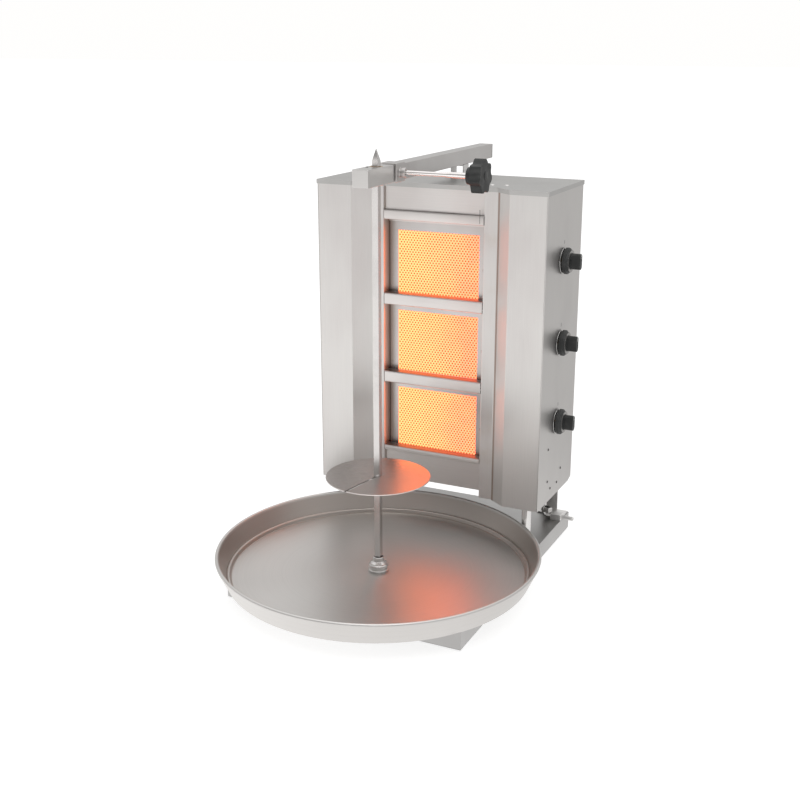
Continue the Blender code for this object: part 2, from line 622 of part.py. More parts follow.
def make_burner(name, height):
    frame_half = BAY_HALF - GAP
    frame_rise = (WINDOW_HEIGHT + BURNER_SPACING - FRAME_SPACING) / 2
    window = (WINDOW_WIDTH / 2, WINDOW_HEIGHT / 2)
    frame = keep(f"burner_frame_{name}",
                 block((-frame_half, FRAME_Y, height - frame_rise),
                       (frame_half, FRAME_Y + SHEET, height + frame_rise)), CABINET_STEEL, oven)
    cut(frame, f"window_{name}",
        block((-window[0], FRAME_Y - OVERCUT, height - window[1]),
              (window[0], FRAME_Y + OVERCUT, height + window[1])))

    plaque_half = window[0] + FRAME_LIP
    plaque_rise = window[1] + FRAME_LIP
    plaque_y = FRAME_Y + PLAQUE_SETBACK
    keep(f"burner_plaque_{name}",
         block((-plaque_half, plaque_y, height - plaque_rise),
               (plaque_half, plaque_y + PLAQUE_THICKNESS, height + plaque_rise)), CERAMIC, oven)

    half, rise = plaque_half + PLENUM_WALL, plaque_rise + PLENUM_WALL
    front = FRAME_Y + SHEET + GAP
    rear = front + PLENUM_DEPTH
    plenum = keep(f"burner_plenum_{name}",
                  block((-half, front, height - rise), (half, rear, height + rise)),
                  BASE_STEEL, oven)
    wall = PLENUM_WALL - GAP
    cut(plenum, f"plenum_inside_{name}",
        block((wall - half, front - OVERCUT, height + wall - rise),
              (half - wall, rear - SHEET, height + rise - wall)))
    middle = (front + rear) / 2
    join(plenum, f"venturi_{name}",
         cylinder(VENTURI_RADIUS, "X", half - wall / 2, half + VENTURI_LENGTH,
                  (0, middle, height), 16))


# Gas: knobs on stems, valves, one bent supply pipe and the inlet on the base's rear corner

def make_valve(name, height):
    place = (HALF_WIDTH, KNOB_Y, height)
    push = pivot(f"push_{name}", place, oven)
    turn = pivot(f"turn_{name}", place, push)
    centre = (0, KNOB_Y, height)

    front = HALF_WIDTH - SHEET - VALVE_PANEL_GAP
    body = keep(f"gas_valve_{name}",
                cylinder(VALVE_RADIUS, "X", front - VALVE_LENGTH, front, centre, 20, True),
                CAST, oven, smooth=True)
    cut(body, f"stem_bore_{name}",
        cylinder(STEM_RADIUS + STEM_PLAY, "X", front - STEM_IN_VALVE - STEM_END_ROOM,
                 front + OVERCUT, centre, 16))
    pipe_x, pipe_y = pipe_place()
    stub_end = pipe_y - PIPE_RADIUS - GAP
    join(body, f"valve_stub_{name}",
         cylinder(VALVE_STUB_RADIUS, "Y", KNOB_Y + VALVE_RADIUS * 0.6, stub_end,
                  (pipe_x, 0, height), 12))

    knob_foot = HALF_WIDTH + KNOB_STANDOFF
    keep(f"valve_stem_{name}",
         cylinder(STEM_RADIUS, "X", front - STEM_IN_VALVE, knob_foot - GAP, centre, 16),
         CAST, push, smooth=True)

    skirt = knob_foot + KNOB_SKIRT
    step = skirt + KNOB_STEP
    profile = [(0, knob_foot), (KNOB_RADIUS, knob_foot), (KNOB_RADIUS, skirt),
               (KNOB_STEP_RADIUS, skirt + CHAMFER), (KNOB_STEP_RADIUS - CHAMFER, step), (0, step)]
    knob = keep(f"gas_knob_{name}", turned(profile, "X", centre, 32), BLACK_PLASTIC, turn,
                smooth=True)
    half_w, half_l = KNOB_GRIP_WIDTH / 2, KNOB_GRIP_LENGTH / 2
    grip = []
    for i in range(KNOB_GRIP_STEPS):
        angle = math.tau * (i + 0.5) / KNOB_GRIP_STEPS
        end = math.copysign(half_l - half_w, math.sin(angle))
        grip.append((KNOB_Y + half_w * math.cos(angle), height + end + half_w * math.sin(angle)))
    join(knob, f"knob_grip_{name}", prism(grip, "X", step - WELD, step + KNOB_GRIP_HEIGHT))


def make_supply():
    x, y = pipe_place()
    fitting_left = BASE_HALF - GAP - FITTING_WIDTH
    middle_z = BASE_TOP_Z + GAP + FITTING_HEIGHT / 2
    fitting = keep("gas_inlet_fitting",
                   block((fitting_left, y - FITTING_LENGTH / 2, BASE_TOP_Z + GAP),
                         (fitting_left + FITTING_WIDTH, y + FITTING_LENGTH / 2,
                          BASE_TOP_Z + GAP + FITTING_HEIGHT)), BASE_STEEL, oven)
    root = fitting_left + FITTING_WIDTH - NIPPLE_ROOT
    end = fitting_left + FITTING_WIDTH + NIPPLE_LENGTH
    nipple = [(0, root), (NIPPLE_RADIUS, root), (NIPPLE_RADIUS, end - BARB_LENGTH - CHAMFER),
              (NIPPLE_RADIUS * BARB_SWELL, end - BARB_LENGTH),
              (NIPPLE_RADIUS / BARB_SWELL, end), (0, end)]
    join(fitting, "hose_nipple", turned(nipple, "X", (0, y, middle_z), 16))

    top = BURNER_HEIGHTS[-1] + KNOB_RISE + PIPE_TOP_RISE
    bend_top = FLOOR_Z - PIPE_BEND_DROP
    bend_z = (bend_top + middle_z) / 2
    bend_rise = (bend_top - middle_z) / 2
    route = [(x, y, top), (x, y, bend_top)]
    for step in range(1, PIPE_BEND_STEPS + 1):
        angle = math.pi * step / PIPE_BEND_STEPS
        left = PIPE_BEND_REACH * math.sin(angle) + PIPE_BEND_SHIFT * (1 - math.cos(angle)) / 2
        route.append((x - left, y, bend_z + bend_rise * math.cos(angle)))
    route.append((fitting_left - GAP, y, middle_z))
    line = bpy.data.curves.new("gas_supply_pipe", "CURVE")
    line.dimensions = "3D"
    line.bevel_depth = PIPE_RADIUS
    line.bevel_resolution = 2
    line.use_fill_caps = True
    spline = line.splines.new("POLY")
    spline.points.add(len(route) - 1)
    for point, place in zip(spline.points, route):
        point.co = (*place, 1)
    line.materials.append(POLISHED)
    pipe = bpy.data.objects.new("gas_supply_pipe", line)
    bpy.context.scene.collection.objects.link(pipe)
    pipe.parent = oven


# Drive: a carriage under the slot carries the gear case, the motor and the tray

def gear_outline(teeth, centre_y, phase):
    """Straight-flanked teeth, thinned at the pitch circle by half the backlash."""
    pitch = GEAR_MODULE * teeth / 2
    tip, root = pitch + 0.9 * GEAR_MODULE, pitch - 1.15 * GEAR_MODULE
    half = math.pi * GEAR_MODULE / 4 - GEAR_BACKLASH / 2
    slope = math.tan(math.radians(20))
    points = []
    for tooth in range(teeth):
        middle = phase + math.tau * tooth / teeth
        root_half = (half + (pitch - root) * slope) / root
        tip_half = (half - (tip - pitch) * slope) / tip
        for radius, turn in ((root, -root_half), (tip, -tip_half), (tip, tip_half),
                             (root, root_half)):
            points.append((radius * math.cos(middle + turn),
                           centre_y + radius * math.sin(middle + turn)))
    return points


def make_drive():
    plate = rectangle(-PLATE_HALF, PLATE_HALF, -PLATE_LENGTH_FRONT, PLATE_LENGTH_REAR)
    keep("carriage_plate", prism(plate, "Z", PLATE_BOTTOM_Z, PLATE_TOP_Z), BASE_STEEL, carriage)

    low, high = PLATE_TOP_Z + GAP, CASE_TOP_Z
    case = keep("gear_case",
                prism(hat_section(CASE_HALF, CASE_HALF + CASE_FLANGE, low, high, SHEET), "Y",
                      PLATE_MARGIN - PLATE_LENGTH_FRONT, PLATE_LENGTH_REAR - PLATE_MARGIN),
                BASE_STEEL, carriage)
    bore = SHAFT_RADIUS + GAP
    outside = bore + BEARING_WALL
    cut(case, "bearing_hole", cylinder(outside + GAP, "Z", high - OVERCUT, high + OVERCUT))
    cut(case, "pinion_hole", cylinder(PINION_SHAFT_RADIUS + SHAFT_HOLE_PLAY, "Z", high - OVERCUT,
                                      high + OVERCUT, (0, GEAR_CENTRES, 0), 16))
    flange_low = high + GAP
    flange_top = flange_low + BEARING_FLANGE
    bush = [(bore, GEAR_TOP_Z + GAP), (outside, GEAR_TOP_Z + GAP), (outside, flange_low),
            (outside + BEARING_FLANGE, flange_low), (outside + BEARING_FLANGE, flange_top),
            (bore, flange_top)]
    keep("shaft_bearing", turned(bush), BRONZE, carriage, smooth=True)

    motor_low = high + GAP
    can = [(0, motor_low), (MOTOR_RADIUS, motor_low), (MOTOR_RADIUS, MOTOR_TOP_Z - CHAMFER),
           (MOTOR_RADIUS - CHAMFER, MOTOR_TOP_Z), (0, MOTOR_TOP_Z)]
    keep("gear_motor", turned(can, "Z", (0, GEAR_CENTRES, 0)), MOTOR_PAINT, carriage,
         (0, GEAR_CENTRES, motor_low), True)

    wheel = keep("output_gear",
                 prism(gear_outline(WHEEL_TEETH, 0, math.pi / 2), "Z", GEAR_BOTTOM_Z, GEAR_TOP_Z),
                 NYLON, drive)
    cut(wheel, "wheel_bore", cylinder(SHAFT_RADIUS + GAP, "Z", GEAR_BOTTOM_Z - OVERCUT,
                                      GEAR_TOP_Z + OVERCUT))
    facing = -math.pi / 2 + math.pi / PINION_TEETH
    pinion = keep("motor_pinion",
                  prism(gear_outline(PINION_TEETH, GEAR_CENTRES, facing), "Z", GEAR_BOTTOM_Z,
                        GEAR_TOP_Z), NYLON, pinion_axis)
    join(pinion, "pinion_shaft", cylinder(PINION_SHAFT_RADIUS, "Z", GEAR_TOP_Z - WELD,
                                          motor_low - GAP, (0, GEAR_CENTRES, 0), 16))

    flare = flange_top + GAP
    socket = [(0, PLATE_TOP_Z + GAP), (SHAFT_RADIUS, PLATE_TOP_Z + GAP), (SHAFT_RADIUS, flare),
              (SOCKET_RADIUS, flare + SOCKET_FLARE), (SOCKET_RADIUS, SOCKET_TOP_Z),
              (0, SOCKET_TOP_Z)]
    made = keep("drive_socket", turned(socket), POLISHED, drive, smooth=True)
    cut(made, "socket_hole", square_hole(SOCKET_TOP_Z - SOCKET_DEPTH - GAP, SOCKET_TOP_Z + OVERCUT))


def make_tray():
    bottom = BASE_TOP_Z + GAP
    floor = bottom + TRAY_SHEET
    neck_top = bottom + TRAY_NECK_HEIGHT
    rim = bottom + TRAY_HEIGHT
    bead = TRAY_BEAD_RADIUS
    bead_r, bead_z = TRAY_RADIUS - bead, rim - bead
    profile = [(NECK_RADIUS, bottom), (TRAY_FLOOR_RADIUS - TRAY_FOLD, bottom),
               (TRAY_FLOOR_RADIUS, bottom + TRAY_FOLD_RISE)]
    for step in range(9):
        angle = math.radians(-60 + 30 * step)
        profile.append((bead_r + bead * math.cos(angle), bead_z + bead * math.sin(angle)))
    ring = TRAY_FLOOR_RADIUS - TRAY_SHEET - CHAMFER
    profile += [(ring, floor + TRAY_RING_HEIGHT - TRAY_FOLD_RISE),
                (ring - TRAY_RING_WIDTH * 0.3, floor + TRAY_RING_HEIGHT),
                (ring - TRAY_RING_WIDTH * 0.7, floor + TRAY_RING_HEIGHT - CHAMFER),
                (ring - TRAY_RING_WIDTH, floor),
                (NECK_RADIUS + TRAY_SHEET, floor), (NECK_RADIUS + TRAY_SHEET, neck_top),
                (NECK_RADIUS, neck_top)]
    keep("drip_tray", turned(profile, steps=TRAY_STEPS), TRAY_STEEL, carriage, smooth=True)


# Spit: a pointed square rod with a drip cap at its foot, and a disc that is set at any height

def make_spit():
    half = SPIT_SIDE / 2
    bm = block((-half, -half, SOCKET_TOP_Z - SOCKET_DEPTH), (half, half, SPIT_SHOULDER_Z))
    top = max(bm.faces, key=lambda face: face.calc_center_median().z)
    bmesh.ops.poke(bm, faces=[top])
    tip = max(bm.verts, key=lambda vert: (round(vert.co.z, 6), -vert.co.xy.length))
    tip.co.z = SPIT_SHOULDER_Z + SPIT_POINT
    keep("spit_rod", bm, POLISHED, spit)

    neck = NECK_RADIUS + TRAY_SHEET
    skirt = neck + CAP_GAP
    skirt_low = BASE_TOP_Z + CAP_SKIRT_RISE
    roof = SOCKET_TOP_Z + CAP_SEAT
    shoulder = roof + CAP_WALL
    cap = [(0, roof), (skirt, roof), (skirt, skirt_low), (skirt + CAP_WALL, skirt_low),
           (skirt + CAP_WALL, roof + CAP_WALL / 2), (skirt, shoulder),
           (SOCKET_RADIUS, shoulder + CAP_FILLET), (SOCKET_RADIUS, shoulder + CAP_COLLAR_HEIGHT),
           (0, shoulder + CAP_COLLAR_HEIGHT)]
    made = keep("spit_drip_cap", turned(cap), POLISHED, spit, smooth=True)
    cut(made, "cap_hole", square_hole(roof - OVERCUT, shoulder + CAP_COLLAR_HEIGHT + OVERCUT))


def make_disc():
    low, high = DISC_Z - DISC_SHEET, DISC_Z
    rim = DISC_RADIUS - DISC_CHAMFER
    plate = [(0, low), (rim, low), (DISC_RADIUS, low + DISC_CHAMFER),
             (DISC_RADIUS, high - DISC_CHAMFER), (rim, high), (0, high)]
    made = keep("meat_disc", turned(plate, steps=48), TRAY_STEEL, disc, smooth=True)
    cut(made, "disc_hole", square_hole(low - OVERCUT, high + OVERCUT))
    reach = DISC_RADIUS + OVERCUT
    run = Vector((math.cos(DISC_SLOT_ANGLE), math.sin(DISC_SLOT_ANGLE)))
    side = Vector((-run.y, run.x)) * DISC_SLOT_WIDTH / 2
    outline = [tuple(point) for point in (side, -side, run * reach - side, run * reach + side)]
    cut(made, "disc_slot", prism(outline[::-1], "Z", low - OVERCUT, high + OVERCUT))

    hub_top = low - GAP
    hub_low = hub_top - HUB_HEIGHT
    hub = [(0, hub_low), (HUB_RADIUS - CHAMFER, hub_low), (HUB_RADIUS, hub_low + CHAMFER),
           (HUB_RADIUS, hub_top), (0, hub_top)]
    made = keep("disc_hub", turned(hub, steps=24), POLISHED, disc, smooth=True)
    cut(made, "hub_hole", square_hole(hub_low - OVERCUT, hub_top + OVERCUT))


# Arm: a square tube fixed above the cabinet. The holder slides in it and steadies the spit.

def make_arm():
    half, collar = ARM_SIDE / 2, COLLAR_SIDE / 2
    tube = keep("arm_tube", block((-half, ARM_FRONT_Y, ARM_Z - half),
                                  (half, ARM_REAR_Y, ARM_Z + half)), CABINET_STEEL, oven)
    join(tube, "arm_collar", block((-collar, ARM_FRONT_Y, ARM_Z - collar),
                                   (collar, ARM_FRONT_Y + COLLAR_LENGTH, ARM_Z + collar)))
    place = (0, CLAMP_Y, ARM_Z)
    join(tube, "clamp_boss", cylinder(CLAMP_BOSS_RADIUS, "X", collar - WELD,
                                      collar + CLAMP_BOSS_LENGTH, place, 20))
    bore = half - ARM_WALL
    cut(tube, "arm_bore", block((-bore, ARM_FRONT_Y - OVERCUT, ARM_Z - bore),
                                (bore, ARM_REAR_Y + OVERCUT, ARM_Z + bore)))
    cut(tube, "clamp_hole", cylinder(CLAMP_ROD_RADIUS + GAP, "X", 0,
                                     collar + CLAMP_BOSS_LENGTH + OVERCUT, place, 20))

    saddle = hat_section(half - BRACKET_SHEET, BRACKET_WIDTH / 2, CABINET_TOP_Z + GAP,
                         ARM_BOTTOM_Z - GAP, BRACKET_SHEET)
    start = BRACKET_Y - BRACKET_LENGTH / 2
    keep("arm_bracket", prism(saddle, "Y", start, start + BRACKET_LENGTH), BASE_STEEL, oven)


def make_holder():
    rail = ARM_SIDE / 2 - ARM_WALL - RAIL_PLAY
    start = BLOCK_REAR_Y + GAP
    keep("holder_rail", block((-rail, start, ARM_Z - rail),
                              (rail, start + INNER_RAIL_LENGTH, ARM_Z + rail)), BASE_STEEL, holder)

    half = BLOCK_SIDE / 2
    made = keep("holder_block",
                block((-half, BLOCK_FRONT_Y, BLOCK_BOTTOM_Z), (half, BLOCK_REAR_Y, BLOCK_TOP_Z)),
                CABINET_STEEL, holder)
    bore = SPIT_CORNER + BUSH_PLAY
    outside = bore + BUSH_WALL
    cut(made, "bush_hole", cylinder(outside + GAP, "Z", BLOCK_BOTTOM_Z - OVERCUT,
                                    BLOCK_TOP_Z + OVERCUT))
    low, high = BLOCK_BOTTOM_Z - BUSH_STAND, BLOCK_TOP_Z
    bush = [(bore, low), (outside, low), (outside, high), (bore, high)]
    keep("spit_bush", turned(bush), BRONZE, holder, smooth=True)


def make_clamp():
    tip = ARM_SIDE / 2 - ARM_WALL - RAIL_PLAY + GAP
    end = COLLAR_SIDE / 2 + CLAMP_ROD_LENGTH
    sleeve = end - CLAMP_SLEEVE_LENGTH
    centre = (0, CLAMP_Y, ARM_Z)
    rod = [(0, tip), (CLAMP_ROD_RADIUS, tip), (CLAMP_ROD_RADIUS, sleeve - CLAMP_TAPER),
           (CLAMP_SLEEVE_RADIUS, sleeve), (CLAMP_SLEEVE_RADIUS, end), (0, end)]
    keep("clamp_screw", turned(rod, "X", centre, 20), POLISHED, clamp, smooth=True)

    hub_start = end + GAP
    star_start = hub_start + CLAMP_HUB_LENGTH
    star = []
    points = CLAMP_KNOB_LOBES * CLAMP_KNOB_STEPS
    for i in range(points):
        angle = math.tau * i / points
        valley = (1 - math.cos(CLAMP_KNOB_LOBES * angle)) / 2
        radius = CLAMP_KNOB_RADIUS - CLAMP_KNOB_LOBE_DEPTH * valley
        star.append((CLAMP_Y + radius * math.sin(angle), ARM_Z + radius * math.cos(angle)))
    knob = keep("clamp_knob", prism(star, "X", star_start, star_start + CLAMP_KNOB_THICKNESS),
                BLACK_PLASTIC, clamp)
    join(knob, "knob_hub", cylinder(CLAMP_HUB_RADIUS, "X", hub_start, star_start + WELD,
                                    centre, 20))


make_base()
make_supports()
make_cabinet()
make_bay_panels()
for burner, centre_z in zip(BURNERS, BURNER_HEIGHTS):
    make_burner(burner, centre_z)
    make_valve(burner, centre_z + KNOB_RISE)
make_supply()
make_drive()
make_tray()
make_spit()
make_disc()
make_arm()
make_holder()
make_clamp()
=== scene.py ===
"""The looks of a gas rotisserie oven: three glowing burners behind a turning vertical spit."""

import math

import bmesh
import bpy
from mathutils import Matrix, Vector


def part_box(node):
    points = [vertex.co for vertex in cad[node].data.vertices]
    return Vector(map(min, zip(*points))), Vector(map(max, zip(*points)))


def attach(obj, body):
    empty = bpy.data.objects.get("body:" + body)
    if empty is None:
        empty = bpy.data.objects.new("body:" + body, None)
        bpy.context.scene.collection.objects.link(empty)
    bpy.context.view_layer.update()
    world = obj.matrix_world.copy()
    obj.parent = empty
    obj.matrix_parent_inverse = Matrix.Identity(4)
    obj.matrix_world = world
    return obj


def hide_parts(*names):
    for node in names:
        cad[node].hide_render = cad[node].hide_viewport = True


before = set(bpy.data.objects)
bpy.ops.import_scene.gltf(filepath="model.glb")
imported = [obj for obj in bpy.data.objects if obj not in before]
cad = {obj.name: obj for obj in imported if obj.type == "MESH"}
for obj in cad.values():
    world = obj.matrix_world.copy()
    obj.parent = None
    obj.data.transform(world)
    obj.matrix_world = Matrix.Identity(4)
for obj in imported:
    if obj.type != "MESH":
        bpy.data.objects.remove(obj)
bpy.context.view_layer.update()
bpy.context.scene.view_settings.view_transform = "Standard"

# Base
# A shallow box of folded 1.5 mm stainless sheet, with a bottom cover screwed in from below.
# Its folds have a small radius, and the sheet keeps the fine straight grain of the mill.


class Wire:
    """The output of a shader node. Sums and products on it add Math nodes."""

    def __init__(self, finish, socket):
        self.finish, self.socket = finish, socket

    def maths(self, operation, *values):
        return self.finish.node("ShaderNodeMath", {"operation": operation},
                                dict(enumerate(values)))

    def __add__(self, other):
        return self.maths("ADD", self, other)

    __radd__ = __add__

    def __sub__(self, other):
        return self.maths("SUBTRACT", self, other)

    def __rsub__(self, other):
        return self.maths("SUBTRACT", other, self)

    def __mul__(self, other):
        return self.maths("MULTIPLY", self, other)

    __rmul__ = __mul__

    def between(self, low, high):
        """0 below low, 1 above high, and smooth from one to the other."""
        return self.finish.node("ShaderNodeMapRange", {"interpolation_type": "SMOOTHSTEP"},
                                {"Value": self, "From Min": low, "From Max": high})


class Finish:
    """A material, made node by node round its Principled shader."""

    def __init__(self, name, **constants):
        self.material = bpy.data.materials.new(name)
        self.material.use_nodes = True
        self.shader = self.material.node_tree.nodes["Principled BSDF"]
        for socket, value in constants.items():
            self.shader.inputs[socket.replace("_", " ")].default_value = value

    def node(self, kind, settings=None, inputs=None, output=0):
        made = self.material.node_tree.nodes.new(kind)
        for name, value in (settings or {}).items():
            if name == "stops":
                while len(made.color_ramp.elements) < len(value):
                    made.color_ramp.elements.new(1)
                for stop, (place, colour) in zip(made.color_ramp.elements, value):
                    stop.position, stop.color = place, (*colour, 1)
            else:
                setattr(made, name, value)
        for name, value in (inputs or {}).items():
            self.connect(made.inputs[name], value)
        return Wire(self, made.outputs[output]) if made.outputs else None

    def connect(self, socket, value):
        if isinstance(value, Wire):
            self.material.node_tree.links.new(value.socket, socket)
        else:
            socket.default_value = value

    def feed(self, **inputs):
        for name, value in inputs.items():
            self.connect(self.shader.inputs[name.replace("_", " ")], value)
        return self

    def place(self, scale=(1, 1, 1)):
        """Where a point is on the piece, in metres, stretched by scale."""
        point = self.node("ShaderNodeTexCoord", output="Object")
        return self.node("ShaderNodeVectorMath", {"operation": "MULTIPLY"}, {0: point, 1: scale})

    def noise(self, where, scale, detail=2.0, rough=0.5):
        return self.node("ShaderNodeTexNoise", None,
                         {"Vector": where, "Scale": scale, "Detail": detail, "Roughness": rough})

    def axis(self, where, letter):
        return self.node("ShaderNodeSeparateXYZ", None, {0: where}, output=letter)

    def blend(self, share, first, second):
        """A colour that goes from the first to the second as share goes from 0 to 1."""
        return self.node("ShaderNodeMix", {"data_type": "RGBA"},
                         {0: share, 6: rgba(first), 7: rgba(second)}, output=2)

    def bump(self, height, depth, strength=1.0):
        return self.node("ShaderNodeBump", None,
                         {"Height": height, "Distance": depth, "Strength": strength})


def rgba(colour):
    return colour if isinstance(colour, Wire) else (*colour, 1)


GRAIN_FINE = 2600              # scratches per metre across the grain
GRAIN_LONG = 14                # and along it
GRAIN_DEPTH = 0.00004
SCRATCH_TONE, SCRATCH_SHARE = (0.30, 0.29, 0.285), 0.10
SMEAR_SCALE = 5.0              # wiping marks and slow changes of tone
FOLD_SEGMENTS, FOLD_ANGLE = 3, math.radians(38)
WELD_GAP = 0.00002


def brushed(name, light, dark, rough, grain, tint=None):
    """Satin stainless sheet: a fine grain along one axis, and faint marks of wiping.
    tint takes the finish and its colour, and gives the colour back with heat marks on it."""
    made = Finish(name, Metallic=1.0)
    stretch = [GRAIN_LONG if letter == grain else GRAIN_FINE for letter in "XYZ"]
    scratches = made.noise(made.place(stretch), 1.0, 3.0, 0.6)
    smears = made.noise(made.place((1.0, 1.0, 0.55)), SMEAR_SCALE, 3.0, 0.55)
    cloud = smears.between(0.36, 0.66)
    tone = made.blend(cloud, light, dark)
    line = made.blend(scratches.between(0.3, 0.75) * SCRATCH_SHARE, tone, SCRATCH_TONE)
    colour = tint(made, line) if tint else line
    return made.feed(Base_Color=colour,
                     Roughness=rough + 0.05 * cloud + 0.07 * (scratches - 0.5),
                     Normal=made.bump(scratches, GRAIN_DEPTH, 0.25))


def soften(node, fold):
    """Rounds the folds and edges of a CAD piece, and shades its round faces smoothly."""
    weld = node.modifiers.new("weld", "WELD")
    weld.merge_threshold = WELD_GAP
    if fold:
        edge = node.modifiers.new("fold", "BEVEL")
        edge.width, edge.segments = fold, FOLD_SEGMENTS
        edge.limit_method, edge.angle_limit = "ANGLE", FOLD_ANGLE
    split = node.modifiers.new("split", "EDGE_SPLIT")
    split.split_angle = FOLD_ANGLE
    node.modifiers.new("normals", "WEIGHTED_NORMAL").keep_sharp = True
    node.data.polygons.foreach_set("use_smooth", [True] * len(node.data.polygons))


def dress(finish, fold, *names):
    for name in names:
        node = cad[name]
        node.data.materials.clear()
        node.data.materials.append(finish.material)
        soften(node, fold)


base_sheet = brushed("base_sheet", (0.48, 0.475, 0.47), (0.43, 0.425, 0.42), 0.34, "Y")
dress(base_sheet, 0.0012, "base_deck", "base_bottom_cover")


# Feet
# Four thick rubber pads, moulded with a fine matt skin and pushed on under the base.

foot_rubber = Finish("foot_rubber", Specular_IOR_Level=0.35)
skin = foot_rubber.noise(foot_rubber.place(), 900, 2.0)
dust = foot_rubber.noise(foot_rubber.place(), 60, 3.0).between(0.45, 0.75)
foot_rubber.feed(Base_Color=foot_rubber.blend(dust, (0.016, 0.016, 0.016), (0.05, 0.048, 0.045)),
                 Roughness=0.72 + 0.16 * skin, Normal=foot_rubber.bump(skin, 0.0001, 0.6))
dress(foot_rubber, 0.0008, "foot_front_left", "foot_front_right", "foot_rear_left",
      "foot_rear_right")


# Posts and legs
# The cabinet stands on two polished bars at the front, and on two plates with a folded foot at
# the back. The plates are held by pan-head screws, and the posts end in a welded collar.


def polished(name, tone, rough=0.14):
    """Bar and tube ground along their length and then polished."""
    made = Finish(name, Metallic=1.0)
    lines = made.noise(made.place((1600, 1600, 40)), 1.0, 2.0)
    haze = made.noise(made.place(), 24.0, 3.0)
    return made.feed(Base_Color=made.blend(haze.between(0.4, 0.7) * 0.5, tone,
                                           [0.86 * part for part in tone]),
                     Roughness=rough + 0.08 * lines * haze,
                     Normal=made.bump(lines, 0.00002, 0.2))


def turned(profile, steps, where):
    """A closed outline of (radius, height) turned round the axis, then set in place by where."""
    bm = bmesh.new()
    rings = []
    for radius, height in profile:
        if radius == 0:
            rings.append([bm.verts.new((0, 0, height))] * steps)
            continue
        rings.append([bm.verts.new((radius * math.cos(math.tau * i / steps),
                                    radius * math.sin(math.tau * i / steps), height))
                      for i in range(steps)])
    for low, high in zip(rings, rings[1:] + rings[:1]):
        for i in range(steps):
            j = (i + 1) % steps
            corners = list(dict.fromkeys((low[i], low[j], high[j], high[i])))
            if len(corners) > 2:
                bm.faces.new(corners)
    bmesh.ops.recalc_face_normals(bm, faces=bm.faces)
    bm.transform(where)
    return bm


def seat(place, axis):
    """Stands a shape made along +Z at a place, with its top towards axis."""
    return Matrix.Translation(place) @ Vector((0, 0, 1)).rotation_difference(
        Vector(axis)).to_matrix().to_4x4()


def piece(name, bm, finish, body, fold=0.0):
    """A new object from a mesh, with its finish, on its body."""
    mesh = bpy.data.meshes.new(name)
    bm.to_mesh(mesh)
    bm.free()
    made = bpy.data.objects.new(name, mesh)
    bpy.context.scene.collection.objects.link(made)
    made.data.materials.append(finish.material)
    soften(made, fold)
    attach(made, body)
    return made


def add(bm, other):
    """Puts another mesh into this one."""
    mesh = bpy.data.meshes.new("part")
    other.to_mesh(mesh)
    other.free()
    bm.from_mesh(mesh)
    bpy.data.meshes.remove(mesh)
    return bm


def screw_head(radius, place, axis):
    """A domed head with a cross recess."""
    dome = ((0.24, 0.99), (0.50, 0.93), (0.54, 0.91), (0.78, 0.70), (0.94, 0.36), (1.0, 0.0))
    height, steps, recess = 0.42 * radius, 32, 0.32 * radius
    arm, reach = 0.15, 0.52
    bm = bmesh.new()
    loops = [[bm.verts.new((0, 0, height - recess))] * steps]
    for share, rise in dome:
        loop = []
        for i in range(steps):
            angle = math.tau * i / steps
            x, y = share * math.cos(angle), share * math.sin(angle)
            sunk = recess if share < reach and min(abs(x), abs(y)) < arm else 0
            loop.append(bm.verts.new((radius * x, radius * y, height * rise - sunk)))
        loops.append(loop)
    for inner, outer in zip(loops, loops[1:]):
        for i in range(steps):
            j = (i + 1) % steps
            corners = list(dict.fromkeys((inner[i], outer[i], outer[j], inner[j])))
            bm.faces.new(corners)
    bm.faces.new(loops[-1][::-1])
    bm.transform(seat(place, axis))
    return bm


bar_polish = polished("bar_polish", (0.80, 0.79, 0.78))
dress(bar_polish, 0.0008, "front_post_left", "front_post_right")
# Painted light: this sheet is lighter than the cabinet's steel, so the legs in the cabinet's shade
# look lit.
leg_plate = brushed("leg_plate", (0.80, 0.79, 0.78), (0.72, 0.71, 0.70), 0.46, "Z")
dress(leg_plate, 0.0006, "rear_leg_left", "rear_leg_right")
WELD_THROAT = 0.0016
LEG_SCREW, LEG_SCREW_SHARES, LEG_SCREW_DROPS = 0.0042, (0.25, 0.75), (0.012, 0.046)
for side in ("left", "right"):
    low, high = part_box(f"front_post_{side}")
    centre = (low + high) / 2
    radius = (high.x - low.x) / 2
    ring = [(radius, 0), (radius + WELD_THROAT, 0), (radius + 0.7 * WELD_THROAT, 0.4 * WELD_THROAT),
            (radius, WELD_THROAT)]
    piece(f"post_weld_{side}", turned(ring, 40, Matrix.Translation((centre.x, centre.y, low.z))),
          leg_plate, "frame")
    low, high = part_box(f"rear_leg_{side}")
    heads = bmesh.new()
    for share in LEG_SCREW_SHARES:
        for drop in LEG_SCREW_DROPS:
            add(heads, screw_head(LEG_SCREW, (low.x + share * (high.x - low.x), high.y,
                                              high.z - drop), (0, 1, 0)))
    piece(f"leg_screws_{side}", heads, bar_polish, "frame")


# Cabinet
# Two plain side panels, two folded wings that narrow to the burner bay, a back and a floor, all
# of 1.5 mm satin sheet. The wings turn straw where they enter the hot bay, and are painted brown
# deep in it, heat tint with painted shade. The slanted reflector on the right is painted duller:
# painted shade.

wing_low, wing_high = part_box("wing_right")
REFLECTOR_WIDTH = 0.035
STRAW, BRONZE_HEAT_AND_SHADE, REFLECTOR_SHADE_TONE = (0.50, 0.40, 0.31), (0.23, 0.13, 0.085), (0.33, 0.235, 0.195)


